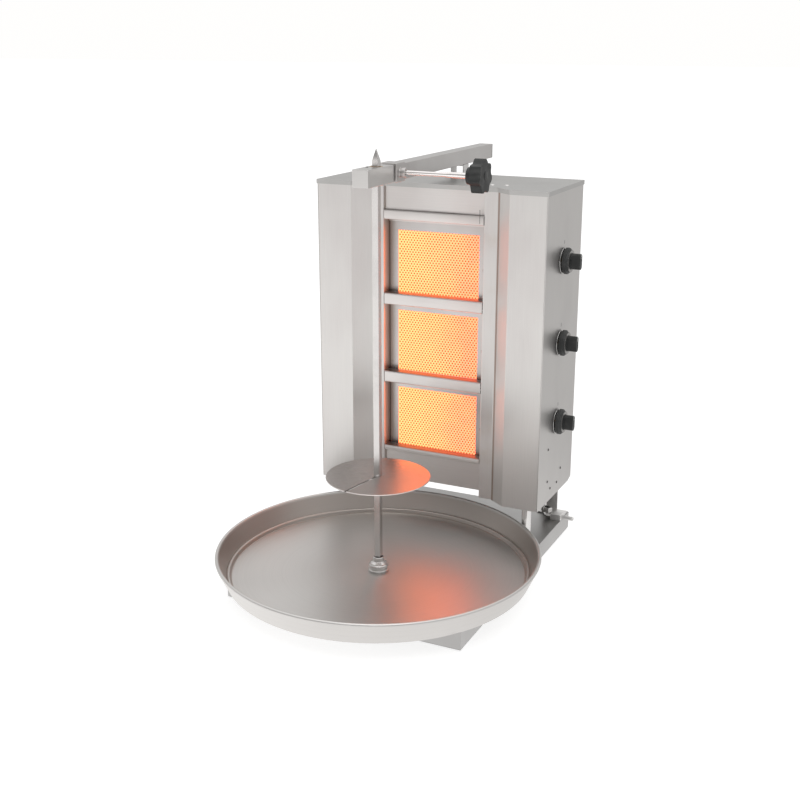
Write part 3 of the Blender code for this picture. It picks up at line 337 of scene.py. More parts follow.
def bay_heat_and_shade(made, colour):
    """Heat tint and painted shade: the slanted reflector on the right is painted duller as painted
    shade, straw is heat tint where the wing turns in, and the brown deep in the bay is heat tint
    with painted shade."""
    spot = made.place()
    across, depth = made.axis(spot, "X"), made.axis(spot, "Y")
    front, edge = wing_low.y, wing_low.x + REFLECTOR_WIDTH
    # The slanted reflector on the right is painted duller: painted shade.
    slant = depth.between(front + 0.0005, front + 0.0020) * (
        1 - depth.between(front + 0.0225, front + 0.0245))
    reflector_shade = slant * across.between(-0.01, 0.01) * (
        1 - across.between(edge - 0.001, edge + 0.001))
    colour = made.blend(reflector_shade * 0.85, colour, REFLECTOR_SHADE_TONE)
    cloud = made.noise(made.place(), 16.0, 3.0) * 0.010
    straw = (depth + cloud).between(front + 0.030, front + 0.036)
    # Deep in the bay the wing is painted brown: heat tint with painted shade.
    brown_heat_and_shade = (depth + cloud).between(front + 0.034, wing_high.y)
    warm = made.blend(straw * 0.55, colour, STRAW)
    return made.blend(brown_heat_and_shade * 0.75, warm, BRONZE_HEAT_AND_SHADE)


side_sheet = brushed("side_sheet", (0.62, 0.605, 0.59), (0.575, 0.56, 0.55), 0.36, "Z")
wing_sheet = brushed("wing_sheet", (0.69, 0.675, 0.66), (0.655, 0.625, 0.615), 0.36, "Z", bay_heat_and_shade)
back_sheet = brushed("back_sheet", (0.63, 0.62, 0.61), (0.56, 0.55, 0.545), 0.38, "Z")
dress(side_sheet, 0.0, "side_panel_left", "side_panel_right")
dress(wing_sheet, 0.0015, "wing_left", "wing_right")
dress(back_sheet, 0.0, "rear_cover", "cabinet_floor")

# Pressed louvres in the back let the bay breathe, and screws hold its edges.
back_low, back_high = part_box("rear_cover")
LOUVRE_LENGTH, LOUVRE_RISE, LOUVRE_DEPTH, LOUVRE_PITCH = 0.110, 0.010, 0.0055, 0.022
LOUVRE_ROWS, LOUVRE_COLUMNS, LOUVRE_DROP = 6, (-0.095, 0.095), 0.09
LOUVRE_END, LOUVRE_GAP, LOUVRE_STEPS = 0.86, 0.0002, 5
curve = [(math.cos(math.pi / 2 * i / LOUVRE_STEPS), math.sin(math.pi / 2 * i / LOUVRE_STEPS))
         for i in range(LOUVRE_STEPS + 1)]
louvres = bmesh.new()
for centre_x in LOUVRE_COLUMNS:
    for row in range(LOUVRE_ROWS):
        z = back_high.z - LOUVRE_DROP - row * LOUVRE_PITCH
        ribs = []
        for share in (-1.0, -0.94, -LOUVRE_END, LOUVRE_END, 0.94, 1.0):
            past = max(0.0, abs(share) - LOUVRE_END) / (1 - LOUVRE_END)
            swell = math.sqrt(max(0.0, 1 - past ** 2))
            ribs.append([louvres.verts.new((centre_x + share * LOUVRE_LENGTH / 2,
                                            back_high.y + LOUVRE_GAP + LOUVRE_DEPTH * swell * out,
                                            z + LOUVRE_RISE * swell * up))
                         for up, out in curve])
        for left, right in zip(ribs, ribs[1:]):
            for i in range(LOUVRE_STEPS):
                louvres.faces.new((left[i], left[i + 1], right[i + 1], right[i]))
bmesh.ops.remove_doubles(louvres, verts=louvres.verts, dist=0.00005)
bmesh.ops.recalc_face_normals(louvres, faces=louvres.faces)
piece("rear_louvres", louvres, back_sheet, "frame")
SMALL_SCREW, EDGE_SCREWS, EDGE_INSET, EDGE_FOOT, EDGE_HEAD = 0.0030, 5, 0.010, 0.09, 0.03
edge_screws = bmesh.new()
for side in (-1, 1):
    for row in range(EDGE_SCREWS):
        span = back_high.z - back_low.z - EDGE_FOOT - EDGE_HEAD
        z = back_low.z + EDGE_FOOT + row * span / (EDGE_SCREWS - 1)
        add(edge_screws, screw_head(SMALL_SCREW, (side * (back_high.x - EDGE_INSET),
                                                  back_high.y, z), (0, 1, 0)))
piece("rear_screws", edge_screws, bar_polish, "frame")

# Small dark screws hold the gas pipe's brackets from outside, low on the right side.
spit_low, spit_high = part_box("spit_rod")
spit_y = (spit_low.y + spit_high.y) / 2
side_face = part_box("side_panel_right")[1].x
dark_screw = Finish("dark_screw", Metallic=1.0)
wear = dark_screw.noise(dark_screw.place(), 700, 2.0)
dark_screw.feed(Base_Color=dark_screw.blend(wear, (0.10, 0.10, 0.10), (0.22, 0.21, 0.20)),
                Roughness=0.35 + 0.2 * wear)
BEHIND_SPIT_AND_UP = ((0.283, 0.241), (0.369, 0.173), (0.284, 0.170), (0.347, 0.148),
                      (0.304, 0.149))
bracket_screws = bmesh.new()
for behind, z in BEHIND_SPIT_AND_UP:
    add(bracket_screws, screw_head(SMALL_SCREW, (side_face, spit_y + behind, z), (1, 0, 0)))
piece("pipe_bracket_screws", bracket_screws, dark_screw, "frame")


# Lid
# A tray of sheet laid over the cabinet with its lip folded down all round. Two pan-head screws
# on the right hold it to the wing below.

lid_sheet = brushed("lid_sheet", (0.525, 0.52, 0.51), (0.48, 0.475, 0.465), 0.38, "X")
dress(lid_sheet, 0.0012, "top_cover")
lid_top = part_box("top_cover")[1].z
LID_SCREW, LID_SCREW_PLACES = 0.0045, ((0.113, 0.284), (0.142, 0.288))
lid_screws = bmesh.new()
for x, behind in LID_SCREW_PLACES:
    add(lid_screws, screw_head(LID_SCREW, (x, spit_y + behind, lid_top), (0, 0, 1)))
piece("lid_screws", lid_screws, leg_plate, "frame")


# Bay panels and cross rails
# A plain panel above and below the burners and two rails between them, hooked on the bay's
# walls so that they lift out for cleaning. Each has its edges folded in.


# How much darker the faces that look up are painted, and the tone they go to.
UPWARD_DARK_SHARE, UPWARD_DARK_TONE = 0.85, (0.17, 0.155, 0.15)


def darker_upward_faces(made, colour):
    """The faces that look up are painted darker."""
    up = made.axis(made.node("ShaderNodeTexCoord", output="Normal"), "Z")
    return made.blend(up.between(0.5, 0.9) * UPWARD_DARK_SHARE, colour, UPWARD_DARK_TONE)


panel_sheet = brushed("panel_sheet", (0.71, 0.68, 0.665), (0.66, 0.625, 0.61), 0.34, "X",
                      darker_upward_faces)
dress(panel_sheet, 0.0010, "centre_top_panel", "centre_bottom_panel", "burner_rail_upper",
      "burner_rail_lower")

# The header's right-hand end is a separate strip, and a thin dark strip of painted shade stands
# for the gap at the joint. Another strip closes the slot between the header and the top burner's
# frame.
# A dark sheet of painted shade for narrow gaps, mottled a little.
gap_shade = Finish("gap_shade", Metallic=0.4)
shade_mottle = gap_shade.noise(gap_shade.place(), 300, 2.0)
gap_shade.feed(Base_Color=gap_shade.blend(shade_mottle, (0.06, 0.05, 0.05), (0.15, 0.13, 0.12)),
              Roughness=0.7 + 0.1 * shade_mottle)
header_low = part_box("centre_top_panel")[0]


def slab(low, high):
    bm = bmesh.new()
    bmesh.ops.create_cube(bm, size=1)
    low, high = Vector(low), Vector(high)
    bm.transform(Matrix.Translation((low + high) / 2) @ Matrix.Diagonal((*(high - low), 1)))
    return bm


frame_low, frame_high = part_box("burner_frame_top")
FIT_GAP, BAFFLE_DEPTH = 0.0003, 0.0052
piece("header_baffle",
      slab((frame_low.x + FIT_GAP, frame_low.y - FIT_GAP - BAFFLE_DEPTH, frame_high.z + FIT_GAP),
           (frame_high.x - FIT_GAP, frame_low.y - FIT_GAP, header_low.z - 0.0004)),
      panel_sheet, "frame", 0.0004)

# The thin dark strip in the header's face is painted shade for the joint's gap.
SEAM_LEFT, SEAM_FOOT, SEAM_WIDTH, SEAM_HEIGHT, SEAM_PROUD = 0.1008, 0.0035, 0.0009, 0.028, 0.0002
seam_low = (SEAM_LEFT, header_low.y - SEAM_PROUD, header_low.z + SEAM_FOOT)
seam_high = (SEAM_LEFT + SEAM_WIDTH, header_low.y + SEAM_WIDTH,
             header_low.z + SEAM_FOOT + SEAM_HEIGHT)
piece("header_seam_shade", slab(seam_low, seam_high), gap_shade, "frame", 0.0002)


# Burners
# Each burner is a folded frame before a perforated fire-clay plaque, fed by a steel plenum. The
# gas burns in the plaque's face, which glows yellow where it is hottest, and orange beyond.

BURNERS = ("bottom", "middle", "top")
frame_steel = brushed("frame_steel", (0.62, 0.60, 0.59), (0.55, 0.52, 0.51), 0.33, "X")
dress(frame_steel, 0.0008, *(f"burner_frame_{burner}" for burner in BURNERS))
plenum_steel = brushed("plenum_steel", (0.40, 0.36, 0.33), (0.26, 0.21, 0.18), 0.5, "Z")
dress(plenum_steel, 0.0010, *(f"burner_plenum_{burner}" for burner in BURNERS))

plaque_low, plaque_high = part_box("burner_plaque_top")
YELLOW, ORANGE, DIM = (1.0, 0.222, 0.078), (1.0, 0.190, 0.075), (0.92, 0.138, 0.070)
glow = Finish("plaque_glow", Emission_Strength=3.7, Roughness=0.85)
spot = glow.place()
across = glow.axis(spot, "X").between(plaque_low.x, plaque_high.x)
flicker = glow.noise(spot, 26.0, 3.0).between(0.3, 0.7)
heat = 0.80 * across + 0.20 * flicker
glow.feed(Base_Color=glow.blend(heat, (0.12, 0.08, 0.05), (0.10, 0.06, 0.04)),
          Emission_Color=glow.node("ShaderNodeValToRGB",
                                   {"stops": ((0.0, YELLOW), (0.55, ORANGE), (1.0, DIM))},
                                   {0: heat}))
pit_glow = Finish("plaque_pits", Emission_Strength=0.6, Roughness=0.9)
ember = pit_glow.noise(pit_glow.place(), 90.0, 2.0)
pit_glow.feed(Base_Color=pit_glow.blend(ember, (0.020, 0.014, 0.008), (0.010, 0.007, 0.005)),
              Emission_Color=pit_glow.blend(ember, (0.66, 0.27, 0.060), (0.48, 0.18, 0.040)))

PIT_PITCH, ROW_PITCH = 0.0066, 0.0050
PIT_RADIUS, PIT_DEPTH, PIT_SIDES, PIT_TAPER = 0.00185, 0.0030, 6, 0.7


def perforated(low, high):
    """A block whose front face, towards -Y, has rows of pits, each row half a pitch on."""
    bm = bmesh.new()
    rows = round((high.z - low.z) / ROW_PITCH)
    columns = round((high.x - low.x) / PIT_PITCH)
    row_height, width = (high.z - low.z) / rows, (high.x - low.x) / columns
    front, back = low.y, high.y

    def quad(*corners):
        return bm.faces.new([bm.verts.new(corner) for corner in corners])

    for row in range(rows):
        floor, roof = low.z + row * row_height, low.z + (row + 1) * row_height
        shift = row % 2 / 2
        if shift:
            for left in (low.x, high.x - width / 2):
                quad((left, front, floor), (left + width / 2, front, floor),
                     (left + width / 2, front, roof), (left, front, roof))
        for column in range(columns - row % 2):
            left = low.x + (column + shift) * width
            x, z = left + width / 2, (floor + roof) / 2
            rim, edge, foot = [], [], []
            for i in range(PIT_SIDES):
                angle = math.tau * (i + 0.5) / PIT_SIDES
                dx, dz = math.cos(angle), math.sin(angle)
                reach = min(width / 2 / max(abs(dx), 1e-6), row_height / 2 / max(abs(dz), 1e-6))
                edge.append(bm.verts.new((x + dx * reach, front, z + dz * reach)))
                rim.append(bm.verts.new((x + PIT_RADIUS * dx, front, z + PIT_RADIUS * dz)))
                foot.append(bm.verts.new((x + PIT_TAPER * PIT_RADIUS * dx, front + PIT_DEPTH,
                                          z + PIT_TAPER * PIT_RADIUS * dz)))
            for i in range(PIT_SIDES):
                j = (i + 1) % PIT_SIDES
                bm.faces.new((edge[i], edge[j], rim[j], rim[i]))
                bm.faces.new((rim[i], rim[j], foot[j], foot[i])).material_index = 1
                a, b = edge[i].co, edge[j].co
                on_side = [abs(abs(p.x - x) - width / 2) < 1e-7 for p in (a, b)]
                if on_side[0] != on_side[1]:
                    side, other = (a, b) if on_side[0] else (b, a)
                    bm.faces.new((edge[i], bm.verts.new((side.x, front, other.z)), edge[j]))
            bm.faces.new(foot).material_index = 1
    quad((low.x, back, low.z), (low.x, back, high.z), (high.x, back, high.z),
         (high.x, back, low.z))
    for a, b in (((low.x, low.z), (high.x, low.z)), ((high.x, low.z), (high.x, high.z)),
                 ((high.x, high.z), (low.x, high.z)), ((low.x, high.z), (low.x, low.z))):
        quad((a[0], front, a[1]), (a[0], back, a[1]), (b[0], back, b[1]), (b[0], front, b[1]))
    bmesh.ops.remove_doubles(bm, verts=bm.verts, dist=0.000002)
    return bm


for burner in BURNERS:
    low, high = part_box(f"burner_plaque_{burner}")
    mesh = bpy.data.meshes.new(f"plaque_{burner}")
    holes = perforated(low, high)
    holes.to_mesh(mesh)
    holes.free()
    plaque = bpy.data.objects.new(f"plaque_{burner}", mesh)
    bpy.context.scene.collection.objects.link(plaque)
    plaque.data.materials.append(glow.material)
    plaque.data.materials.append(pit_glow.material)
    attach(plaque, "frame")
    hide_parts(f"burner_plaque_{burner}")

# A flame-failure probe stands at each burner's right edge: a steel tip in a ceramic collar, both
# drawn in the probe's steel finish.
PROBE_LEFT, PROBE_DROP = 0.1035, 0.004
probe_steel = brushed("probe_steel", (0.56, 0.53, 0.52), (0.46, 0.43, 0.42), 0.35, "Y")
for burner in BURNERS:
    low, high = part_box(f"burner_frame_{burner}")
    tip = [(0, 0), (0.0042, 0), (0.0042, 0.0030), (0.0030, 0.0036), (0.0030, 0.0070),
           (0.0024, 0.0080), (0, 0.0082)]
    piece(f"flame_probe_{burner}",
          turned(tip, 24, seat((PROBE_LEFT, low.y, (low.z + high.z) / 2 - PROBE_DROP), (0, -1, 0))),
          probe_steel, "frame")


# Gas valves, pipe and inlet
# Brass taps sit on one chromed pipe inside the right side. The pipe bends inwards under the
# cabinet, and union nuts join it to the inlet block, whose nipple takes the hose.

brass = Finish("valve_brass", Metallic=1.0)
tarnish = brass.noise(brass.place(), 70.0, 3.0).between(0.4, 0.7)
cuts = brass.noise(brass.place((60, 2200, 2200)), 1.0, 2.0)
brass.feed(Base_Color=brass.blend(tarnish, (0.74, 0.55, 0.26), (0.58, 0.40, 0.17)),
           Roughness=0.24 + 0.16 * tarnish, Normal=brass.bump(cuts, 0.00003, 0.3))
dress(brass, 0.0006, *(f"gas_valve_{burner}" for burner in BURNERS),
      *(f"valve_stem_{burner}" for burner in BURNERS))
pipe_chrome = polished("pipe_chrome", (0.74, 0.73, 0.72), 0.10)
dress(pipe_chrome, 0.0, "gas_supply_pipe")
dress(leg_plate, 0.0010, "gas_inlet_fitting")
pipe_low, pipe_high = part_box("gas_supply_pipe")
inlet_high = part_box("gas_inlet_fitting")[1]
floor_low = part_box("cabinet_floor")[0].z
PIPE_RADIUS = (pipe_high.y - pipe_low.y) / 2
pipe_y = (pipe_low.y + pipe_high.y) / 2
pipe_x = pipe_high.x - PIPE_RADIUS
PIPE_STEP = 0.011              # how far the bend brings the pipe inwards
NUT_HEIGHT, NUT_CORNER, NUT_CHAMFER = 0.011, 0.0108, 0.0012
bore = PIPE_RADIUS + 0.0002
nut = [(bore, 0), (NUT_CORNER - NUT_CHAMFER, 0), (NUT_CORNER, NUT_CHAMFER),
       (NUT_CORNER, NUT_HEIGHT - NUT_CHAMFER), (NUT_CORNER - NUT_CHAMFER, NUT_HEIGHT),
       (bore, NUT_HEIGHT)]
for name, x, low_z in (("pipe_nut_lower", pipe_x - PIPE_STEP, inlet_high.z + 0.0006),
                       ("pipe_nut_upper", pipe_x, floor_low - NUT_HEIGHT - 0.002)):
    piece(name, turned(nut, 6, Matrix.Translation((x, pipe_y, low_z))), pipe_chrome, "frame",
          0.0004)


# Gas knobs
# Black moulded knobs pushed on the tap stems. Each has a ringed skirt and a straight grip, and
# stands over a thin bright ring. A mark above it and a line on the grip show the flame's setting.

moulding = Finish("knob_plastic", Specular_IOR_Level=0.45)
pores = moulding.noise(moulding.place(), 1400, 2.0)
handled = moulding.noise(moulding.place(), 45.0, 3.0).between(0.4, 0.7)
moulding.feed(Base_Color=moulding.blend(handled, (0.020, 0.021, 0.021), (0.034, 0.035, 0.035)),
              Roughness=0.50 - 0.10 * handled + 0.08 * pores,
              Normal=moulding.bump(pores, 0.00008, 0.5))
print_white = Finish("print_white")
rub = print_white.noise(print_white.place(), 900, 2.0)
print_white.feed(Base_Color=print_white.blend(rub.between(0.55, 0.8), (0.80, 0.80, 0.78),
                                              (0.52, 0.52, 0.50)), Roughness=0.5 + 0.1 * rub)
print_grey = Finish("print_grey")
rub = print_grey.noise(print_grey.place(), 900, 2.0)
print_grey.feed(Base_Color=print_grey.blend(rub, (0.12, 0.12, 0.12), (0.22, 0.22, 0.22)),
                Roughness=0.5 + 0.1 * rub)
scale_grey = brushed("scale_grey", (0.42, 0.41, 0.40), (0.30, 0.29, 0.285), 0.4, "X")
RING_INNER, RING_OUTER, RING_THICK = 0.0195, 0.0258, 0.0005
SCALE_INNER, SCALE_OUTER, GRIP_RISE = 0.0168, 0.0222, 0.020
MARK_RISE, MARK_WIDTH, MARK_HEIGHT, PRINT_THICK = 0.0375, 0.0018, 0.0075, 0.00012
LINE_WIDTH, LINE_FOOT, LINE_HEAD = 0.0012, 0.006, 0.0195
ring = [(RING_INNER, 0.00005), (RING_OUTER, 0.00005), (RING_OUTER - 0.0003, RING_THICK),
        (RING_INNER + 0.0003, RING_THICK)]
scale = [(SCALE_INNER, -0.0002), (SCALE_OUTER, -0.0002), (SCALE_OUTER, 0.00015),
         (SCALE_INNER, 0.00015)]
for burner in BURNERS:
    knob = f"gas_knob_{burner}"
    dress(moulding, 0.0009, knob)
    low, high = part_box(knob)
    centre = (low + high) / 2
    piece(f"knob_ring_{burner}",
          turned(ring, 64, seat((side_face, centre.y, centre.z), (1, 0, 0))), bar_polish,
          "frame")
    piece(f"knob_scale_{burner}",
          turned(scale, 64, seat((high.x - GRIP_RISE, centre.y, centre.z), (1, 0, 0))),
          scale_grey, knob)
    mark = slab((side_face, centre.y - MARK_WIDTH / 2, centre.z + MARK_RISE - MARK_HEIGHT / 2),
                (side_face + PRINT_THICK, centre.y + MARK_WIDTH / 2,
                 centre.z + MARK_RISE + MARK_HEIGHT / 2))
    piece(f"knob_mark_{burner}", mark, print_grey, "frame")
    line = slab((high.x - 0.0002, centre.y - LINE_WIDTH / 2, centre.z + LINE_FOOT),
                (high.x + 0.0001, centre.y + LINE_WIDTH / 2, centre.z + LINE_HEAD))
    piece(f"knob_line_{burner}", line, print_white, knob)


# Drive
# Under the tray a geared motor turns the spit from a carriage that slides in the base. The
# plate and the gear case are steel, the wheels nylon, and the shaft runs in a bronze bush.

nylon = Finish("gear_nylon")
milk = nylon.noise(nylon.place(), 120.0, 2.0)
nylon.feed(Base_Color=nylon.blend(milk, (0.78, 0.76, 0.70), (0.68, 0.66, 0.59)),
           Roughness=0.42 + 0.1 * milk)
dress(nylon, 0.0003, "output_gear", "motor_pinion")
bronze = Finish("bush_bronze", Metallic=1.0)
oil = bronze.noise(bronze.place(), 90.0, 3.0).between(0.4, 0.7)
bronze.feed(Base_Color=bronze.blend(oil, (0.62, 0.42, 0.24), (0.42, 0.27, 0.15)),
            Roughness=0.25 + 0.2 * oil)
dress(bronze, 0.0004, "shaft_bearing", "spit_bush")
enamel = Finish("motor_enamel", Coat_Weight=0.3)
orange_peel = enamel.noise(enamel.place(), 500.0, 2.0)
enamel.feed(Base_Color=enamel.blend(orange_peel, (0.028, 0.030, 0.034), (0.045, 0.048, 0.052)),
            Roughness=0.35 + 0.1 * orange_peel, Normal=enamel.bump(orange_peel, 0.00008, 0.4))
dress(enamel, 0.0010, "gear_motor")
dress(base_sheet, 0.0005, "carriage_plate", "gear_case")
dress(bar_polish, 0.0004, "drive_socket")


# Drip tray
# One wide pan spun from 1.8 mm sheet on a lathe, which leaves fine rings in its floor. A bead
# is pressed round the floor, the rim is rolled outwards, and a short neck clears the socket.

tray_low, tray_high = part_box("drip_tray")
TRAY_SHEET, FLOOR_RADIUS, RIM_RADIUS = 0.0018, 0.302, 0.0038
NECK_RADIUS, NECK_HEIGHT, NECK_EDGE = 0.015, 0.0135, 0.0004
BEAD_WIDTH, BEAD_HEIGHT, BEAD_ROUND = 0.007, 0.0095, 0.0036
TRAY_STEPS, RINGS_PER_METRE = 192, 900
tray_radius = (tray_high.x - tray_low.x) / 2


def arc(centre, radius, start, end, steps):
    """Points round an arc, as (across, up), with its angles in degrees."""
    turn = [math.radians(start + (end - start) * i / steps) for i in range(steps + 1)]
    return [(centre[0] + radius * math.cos(a), centre[1] + radius * math.sin(a)) for a in turn]


bottom = tray_low.z
floor = bottom + TRAY_SHEET
rim = (tray_radius - RIM_RADIUS, tray_high.z - RIM_RADIUS)
inner = FLOOR_RADIUS - 0.0028
outline = [(NECK_RADIUS, bottom), (FLOOR_RADIUS - 0.005, bottom)]
outline += arc((FLOOR_RADIUS - 0.004, bottom + 0.004), 0.004, -80, -15, 4)
outline += arc(rim, RIM_RADIUS, -60, 180, 14)
outline += [(inner, floor + BEAD_HEIGHT - 0.003)]
outline += arc((inner - BEAD_WIDTH * 0.55, floor + BEAD_HEIGHT - 0.0038), BEAD_ROUND, 10, 175, 8)
outline += [(inner - BEAD_WIDTH - 0.0014, floor + 0.0012), (inner - BEAD_WIDTH - 0.0034, floor)]
outline += [(radius, floor) for radius in (0.24, 0.16, 0.08)]
outline += arc((NECK_RADIUS + TRAY_SHEET + 0.003, floor + 0.003), 0.003, 270, 180, 4)
outline += [(NECK_RADIUS + TRAY_SHEET, bottom + NECK_HEIGHT - NECK_EDGE),
            (NECK_RADIUS + TRAY_SHEET - NECK_EDGE, bottom + NECK_HEIGHT),
            (NECK_RADIUS, bottom + NECK_HEIGHT)]
spun = Finish("spun_sheet", Metallic=1.0)
spot = spun.node("ShaderNodeVectorMath", {"operation": "SUBTRACT"},
                 {0: spun.place(), 1: (0, spit_y, 0)})
flat = spun.node("ShaderNodeVectorMath", {"operation": "MULTIPLY"}, {0: spot, 1: (1, 1, 0)})
out = spun.node("ShaderNodeVectorMath", {"operation": "LENGTH"}, {0: flat}, output="Value")
height = spun.axis(spot, "Z")
rings = spun.noise(spun.node("ShaderNodeCombineXYZ", None, {0: out * RINGS_PER_METRE,
                                                           1: height * RINGS_PER_METRE}),
                   1.0, 3.0, 0.7)
cloud = spun.noise(spun.place(), 3.0, 2.0).between(0.3, 0.75)
facing = spun.node("ShaderNodeVectorMath", {"operation": "DOT_PRODUCT"},
                   {0: spun.node("ShaderNodeTexCoord", output="Normal"), 1: flat},
                   output="Value")
# The inner wall is painted darker and brown: a painted reflection of the burners' warm glow.
inner_wall_reflection = (1 - facing.between(-0.05, 0.0)) * out.between(0.2, 0.21) * (
    1 - height.between(tray_high.z - 0.007, tray_high.z - 0.002))
tone = spun.blend(cloud, (0.68, 0.665, 0.65), (0.61, 0.595, 0.58))
lined = spun.blend(rings.between(0.35, 0.7) * 0.12, tone, (0.34, 0.33, 0.32))
lined = spun.blend(inner_wall_reflection * 0.6, lined, (0.40, 0.34, 0.30))
spun.feed(Base_Color=lined, Roughness=0.38 + 0.03 * cloud + 0.05 * (rings - 0.5),
          Normal=spun.bump(rings, 0.00004, 0.3))
tray = piece("spun_tray", turned(outline, TRAY_STEPS, Matrix.Translation((0, spit_y, 0))), spun,
             "carriage")
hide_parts("drip_tray")


# Spit and drip cap
# A polished 12 mm square bar with a four-sided point. A turned cap slides on its foot and keeps
# drips out of the socket.

spit_polish = polished("spit_polish", (0.66, 0.64, 0.63), 0.24)
dress(spit_polish, 0.0004, "spit_rod")
cap_low, cap_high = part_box("spit_drip_cap")
CAP_WALL, COLLAR_RADIUS, BORE_RADIUS, ROOF_RISE = 0.0013, 0.0108, 0.0087, 0.0077
CAP_RADIUS = (cap_high.x - cap_low.x) / 2
cap = [(CAP_RADIUS - CAP_WALL, cap_low.z), (CAP_RADIUS, cap_low.z),
       (CAP_RADIUS, cap_low.z + 0.0042), (CAP_RADIUS - 0.0008, cap_low.z + 0.0054),
       (COLLAR_RADIUS + 0.0042, cap_low.z + ROOF_RISE + CAP_WALL),
       (COLLAR_RADIUS + 0.0008, cap_low.z + ROOF_RISE + 0.0032),
       (COLLAR_RADIUS, cap_low.z + ROOF_RISE + 0.0050), (COLLAR_RADIUS, cap_high.z - 0.0008),
       (COLLAR_RADIUS - 0.0008, cap_high.z), (BORE_RADIUS, cap_high.z),
       (BORE_RADIUS, cap_low.z + ROOF_RISE),
       (CAP_RADIUS - CAP_WALL - 0.0004, cap_low.z + ROOF_RISE)]
cap = piece("turned_drip_cap", turned(cap, 72, Matrix.Translation((0, spit_y, 0))), spit_polish,
            "spit")
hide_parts("spit_drip_cap")


# Meat disc
# A flat disc of the same sheet, slotted so that it slips on from the side, with a turned hub
# welded under it. The hub grips the bar at any height.

disc_sheet = brushed("disc_sheet", (0.66, 0.62, 0.60), (0.60, 0.56, 0.54), 0.27, "X")
dress(disc_sheet, 0.0, "meat_disc")
dress(bar_polish, 0.0005, "disc_hub")

# A thin dark strip just under the slot is painted shade for the slot's depth.
disc_low, disc_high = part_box("meat_disc")
SLOT_TURN, SLOT_SHADE, SLOT_START = math.radians(259.5), 0.0036, 0.024
slot_shadow = slab((SLOT_START, -SLOT_SHADE / 2, disc_low.z - 0.0008),
                   ((disc_high.x - disc_low.x) / 2 - 0.003, SLOT_SHADE / 2, disc_low.z - 0.0003))
slot_shadow.transform(Matrix.Translation((0, spit_y, 0)) @ Matrix.Rotation(SLOT_TURN, 4, "Z"))
piece("disc_slot_shadow", slot_shadow, gap_shade, "disc")


# Arm
# A square tube on a folded bracket above the lid, with a thicker collar at its front end. A
# black plug closes the rear end.

arm_sheet = brushed("arm_sheet", (0.60, 0.585, 0.575), (0.54, 0.52, 0.51), 0.32, "Y")
dress(arm_sheet, 0.0012, "arm_tube")
dress(leg_plate, 0.0006, "arm_bracket")
arm_low, arm_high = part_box("arm_tube")
arm_z = (arm_low.z + arm_high.z) / 2
PLUG_HALF, PLUG_LIP, PLUG_LENGTH, PLUG_WALL = 0.0148, 0.0025, 0.012, 0.0022
plug = slab((-PLUG_HALF, arm_high.y + 0.0001, arm_z - PLUG_HALF),
            (PLUG_HALF, arm_high.y + PLUG_LIP, arm_z + PLUG_HALF))
neck = PLUG_HALF - PLUG_WALL
add(plug, slab((-neck, arm_high.y - PLUG_LENGTH, arm_z - neck),
               (neck, arm_high.y + 0.0005, arm_z + neck)))
piece("arm_plug", plug, moulding, "frame", 0.0010)


# Holder
# A short square block on an inner rail that telescopes in the arm. A bronze bush in it steadies
# the spit, and a small socket screw locks the bush.

block_sheet = brushed("block_sheet", (0.66, 0.65, 0.635), (0.61, 0.595, 0.585), 0.30, "Y")
dress(block_sheet, 0.0010, "holder_block")
dress(leg_plate, 0.0008, "holder_rail")
block_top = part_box("holder_block")[1].z
BUSH_SCREW, BUSH_SCREW_LEFT, BUSH_SCREW_AHEAD = 0.0028, 0.0085, 0.020
piece("bush_screw",
      screw_head(BUSH_SCREW, (-BUSH_SCREW_LEFT, spit_y - BUSH_SCREW_AHEAD, block_top), (0, 0, 1)),
      dark_screw, "holder")


# Clamp
# A polished rod screws through the collar and pins the rail. Its black star knob is moulded in
# one piece with a hub, and the lobes are well rounded.

rod_polish = polished("rod_polish", (0.86, 0.83, 0.82), 0.16)
dress(rod_polish, 0.0004, "clamp_screw")
dress(moulding, 0.0030, "clamp_knob")
knob_low, knob_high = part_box("clamp_knob")
clamp_centre = (knob_low + knob_high) / 2
BUTTON_RADIUS = 0.0085
button = [(0, 0), (BUTTON_RADIUS, 0), (BUTTON_RADIUS, 0.0006), (BUTTON_RADIUS - 0.0012, 0.0012),
          (BUTTON_RADIUS * 0.5, 0.0017), (0, 0.0018)]
piece("clamp_knob_cap", turned(button, 40, seat((knob_high.x, clamp_centre.y, clamp_centre.z),
                                             (1, 0, 0))), moulding, "clamp")


# Studio
# A white sweep, soft light from all round, and one large soft lamp high in front. The steel
# mirrors a floor that gets greyer towards the back, which gives it its darker sides.

scene = bpy.context.scene


world = bpy.data.worlds.new("studio")
scene.world = world


class Studio(Finish):
    """The same way of making nodes, for the world and the floor."""

    def __init__(self, owner):
        self.material = owner
        owner.use_nodes = True
        owner.node_tree.nodes.clear()


sky = Studio(world)
toward = sky.node("ShaderNodeTexCoord", output="Generated")
WALL_BRIGHT, FRONT_DARK, TOP_BRIGHT = 0.64, 0.30, 0.60
before = sky.node("ShaderNodeVectorMath", {"operation": "DOT_PRODUCT"},
                  {0: toward, 1: (-0.10, -1.0, 0)}, output="Value")
above = sky.axis(toward, "Z")
bright = WALL_BRIGHT - FRONT_DARK * before.between(0.0, 0.8) + TOP_BRIGHT * above.between(0.3, 0.9)
seen = sky.node("ShaderNodeLightPath", output="Is Camera Ray")
strength = bright * (1 - seen) + seen
backdrop = sky.node("ShaderNodeBackground", None, {"Color": (1, 0.995, 0.985, 1),
                                                   "Strength": strength})
sky.node("ShaderNodeOutputWorld", None, {0: backdrop})

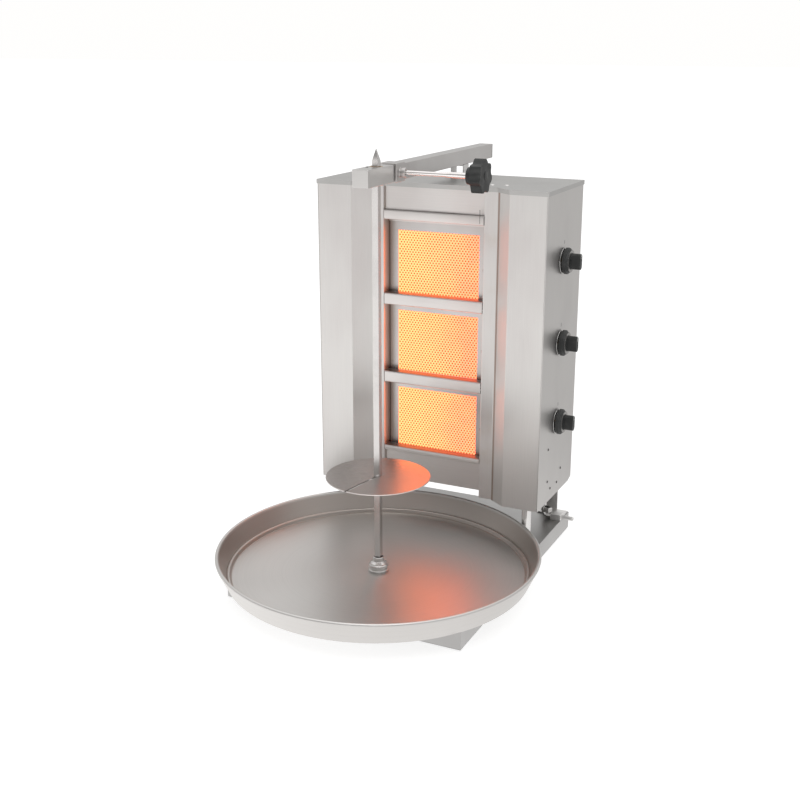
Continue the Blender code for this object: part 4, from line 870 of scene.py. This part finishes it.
FRONT_BRIGHT, BACK_DIM, CARD_TONE = 1.24, 0.68, (1, 0.99, 0.98)
PAPER_GREY, PAPER_LIFT = 0.45, 0.74
floor_look = Studio(bpy.data.materials.new("floor"))
away = floor_look.node("ShaderNodeVectorMath", {"operation": "DOT_PRODUCT"},
                       {0: floor_look.place(), 1: (0.55, 0.83, 0)}, output="Value")
mirrored = FRONT_BRIGHT - (FRONT_BRIGHT - BACK_DIM) * away.between(-0.9, 1.4)
paper = floor_look.node("ShaderNodeBsdfDiffuse", None, {"Color": (*[PAPER_GREY] * 3, 1)})
lift = floor_look.node("ShaderNodeEmission", None, {"Color": (1, 1, 1, 1), "Strength": PAPER_LIFT})
whole = floor_look.node("ShaderNodeAddShader", None, {0: paper, 1: lift})
card = floor_look.node("ShaderNodeEmission", None,
                       {"Color": floor_look.node("ShaderNodeVectorMath", {"operation": "SCALE"},
                                                 {0: CARD_TONE, "Scale": mirrored})})
glossy = floor_look.node("ShaderNodeLightPath", output="Is Glossy Ray")
floor_look.node("ShaderNodeOutputMaterial", None,
                {0: floor_look.node("ShaderNodeMixShader", None, {0: glossy, 1: whole, 2: card})})
sweep = bmesh.new()
bmesh.ops.create_grid(sweep, x_segments=1, y_segments=1, size=40)
sheet = bpy.data.meshes.new("floor")
sweep.to_mesh(sheet)
sweep.free()
ground = bpy.data.objects.new("floor", sheet)
ground.data.materials.append(floor_look.material)
scene.collection.objects.link(ground)

LAMP_PLACE, LAMP_TARGET = Vector((0.5, -1.4, 2.6)), Vector((0, 0, 0.4))
lamp = bpy.data.objects.new("soft_lamp", bpy.data.lights.new("soft_lamp", "AREA"))
lamp.data.shape, lamp.data.size, lamp.data.energy = "DISK", 2.0, 10
lamp.location = LAMP_PLACE
lamp.rotation_euler = (LAMP_TARGET - LAMP_PLACE).to_track_quat("-Z", "Y").to_euler()
scene.collection.objects.link(lamp)

LENS, FILM, CAMERA_RIGHT, CAMERA_AHEAD, CAMERA_UP = 53.14, 36, 0.97017, 1.91592, 1.05851
LOOK_DOWN, LOOK_ROUND = math.radians(17.20), math.radians(25.72)
camera = bpy.data.objects.new("camera", bpy.data.cameras.new("camera"))
camera.data.lens, camera.data.sensor_width = LENS, FILM
camera.location = (CAMERA_RIGHT, spit_y - CAMERA_AHEAD, CAMERA_UP)
camera.rotation_euler = (math.pi / 2 - LOOK_DOWN, 0, LOOK_ROUND)
scene.collection.objects.link(camera)
scene.camera = camera
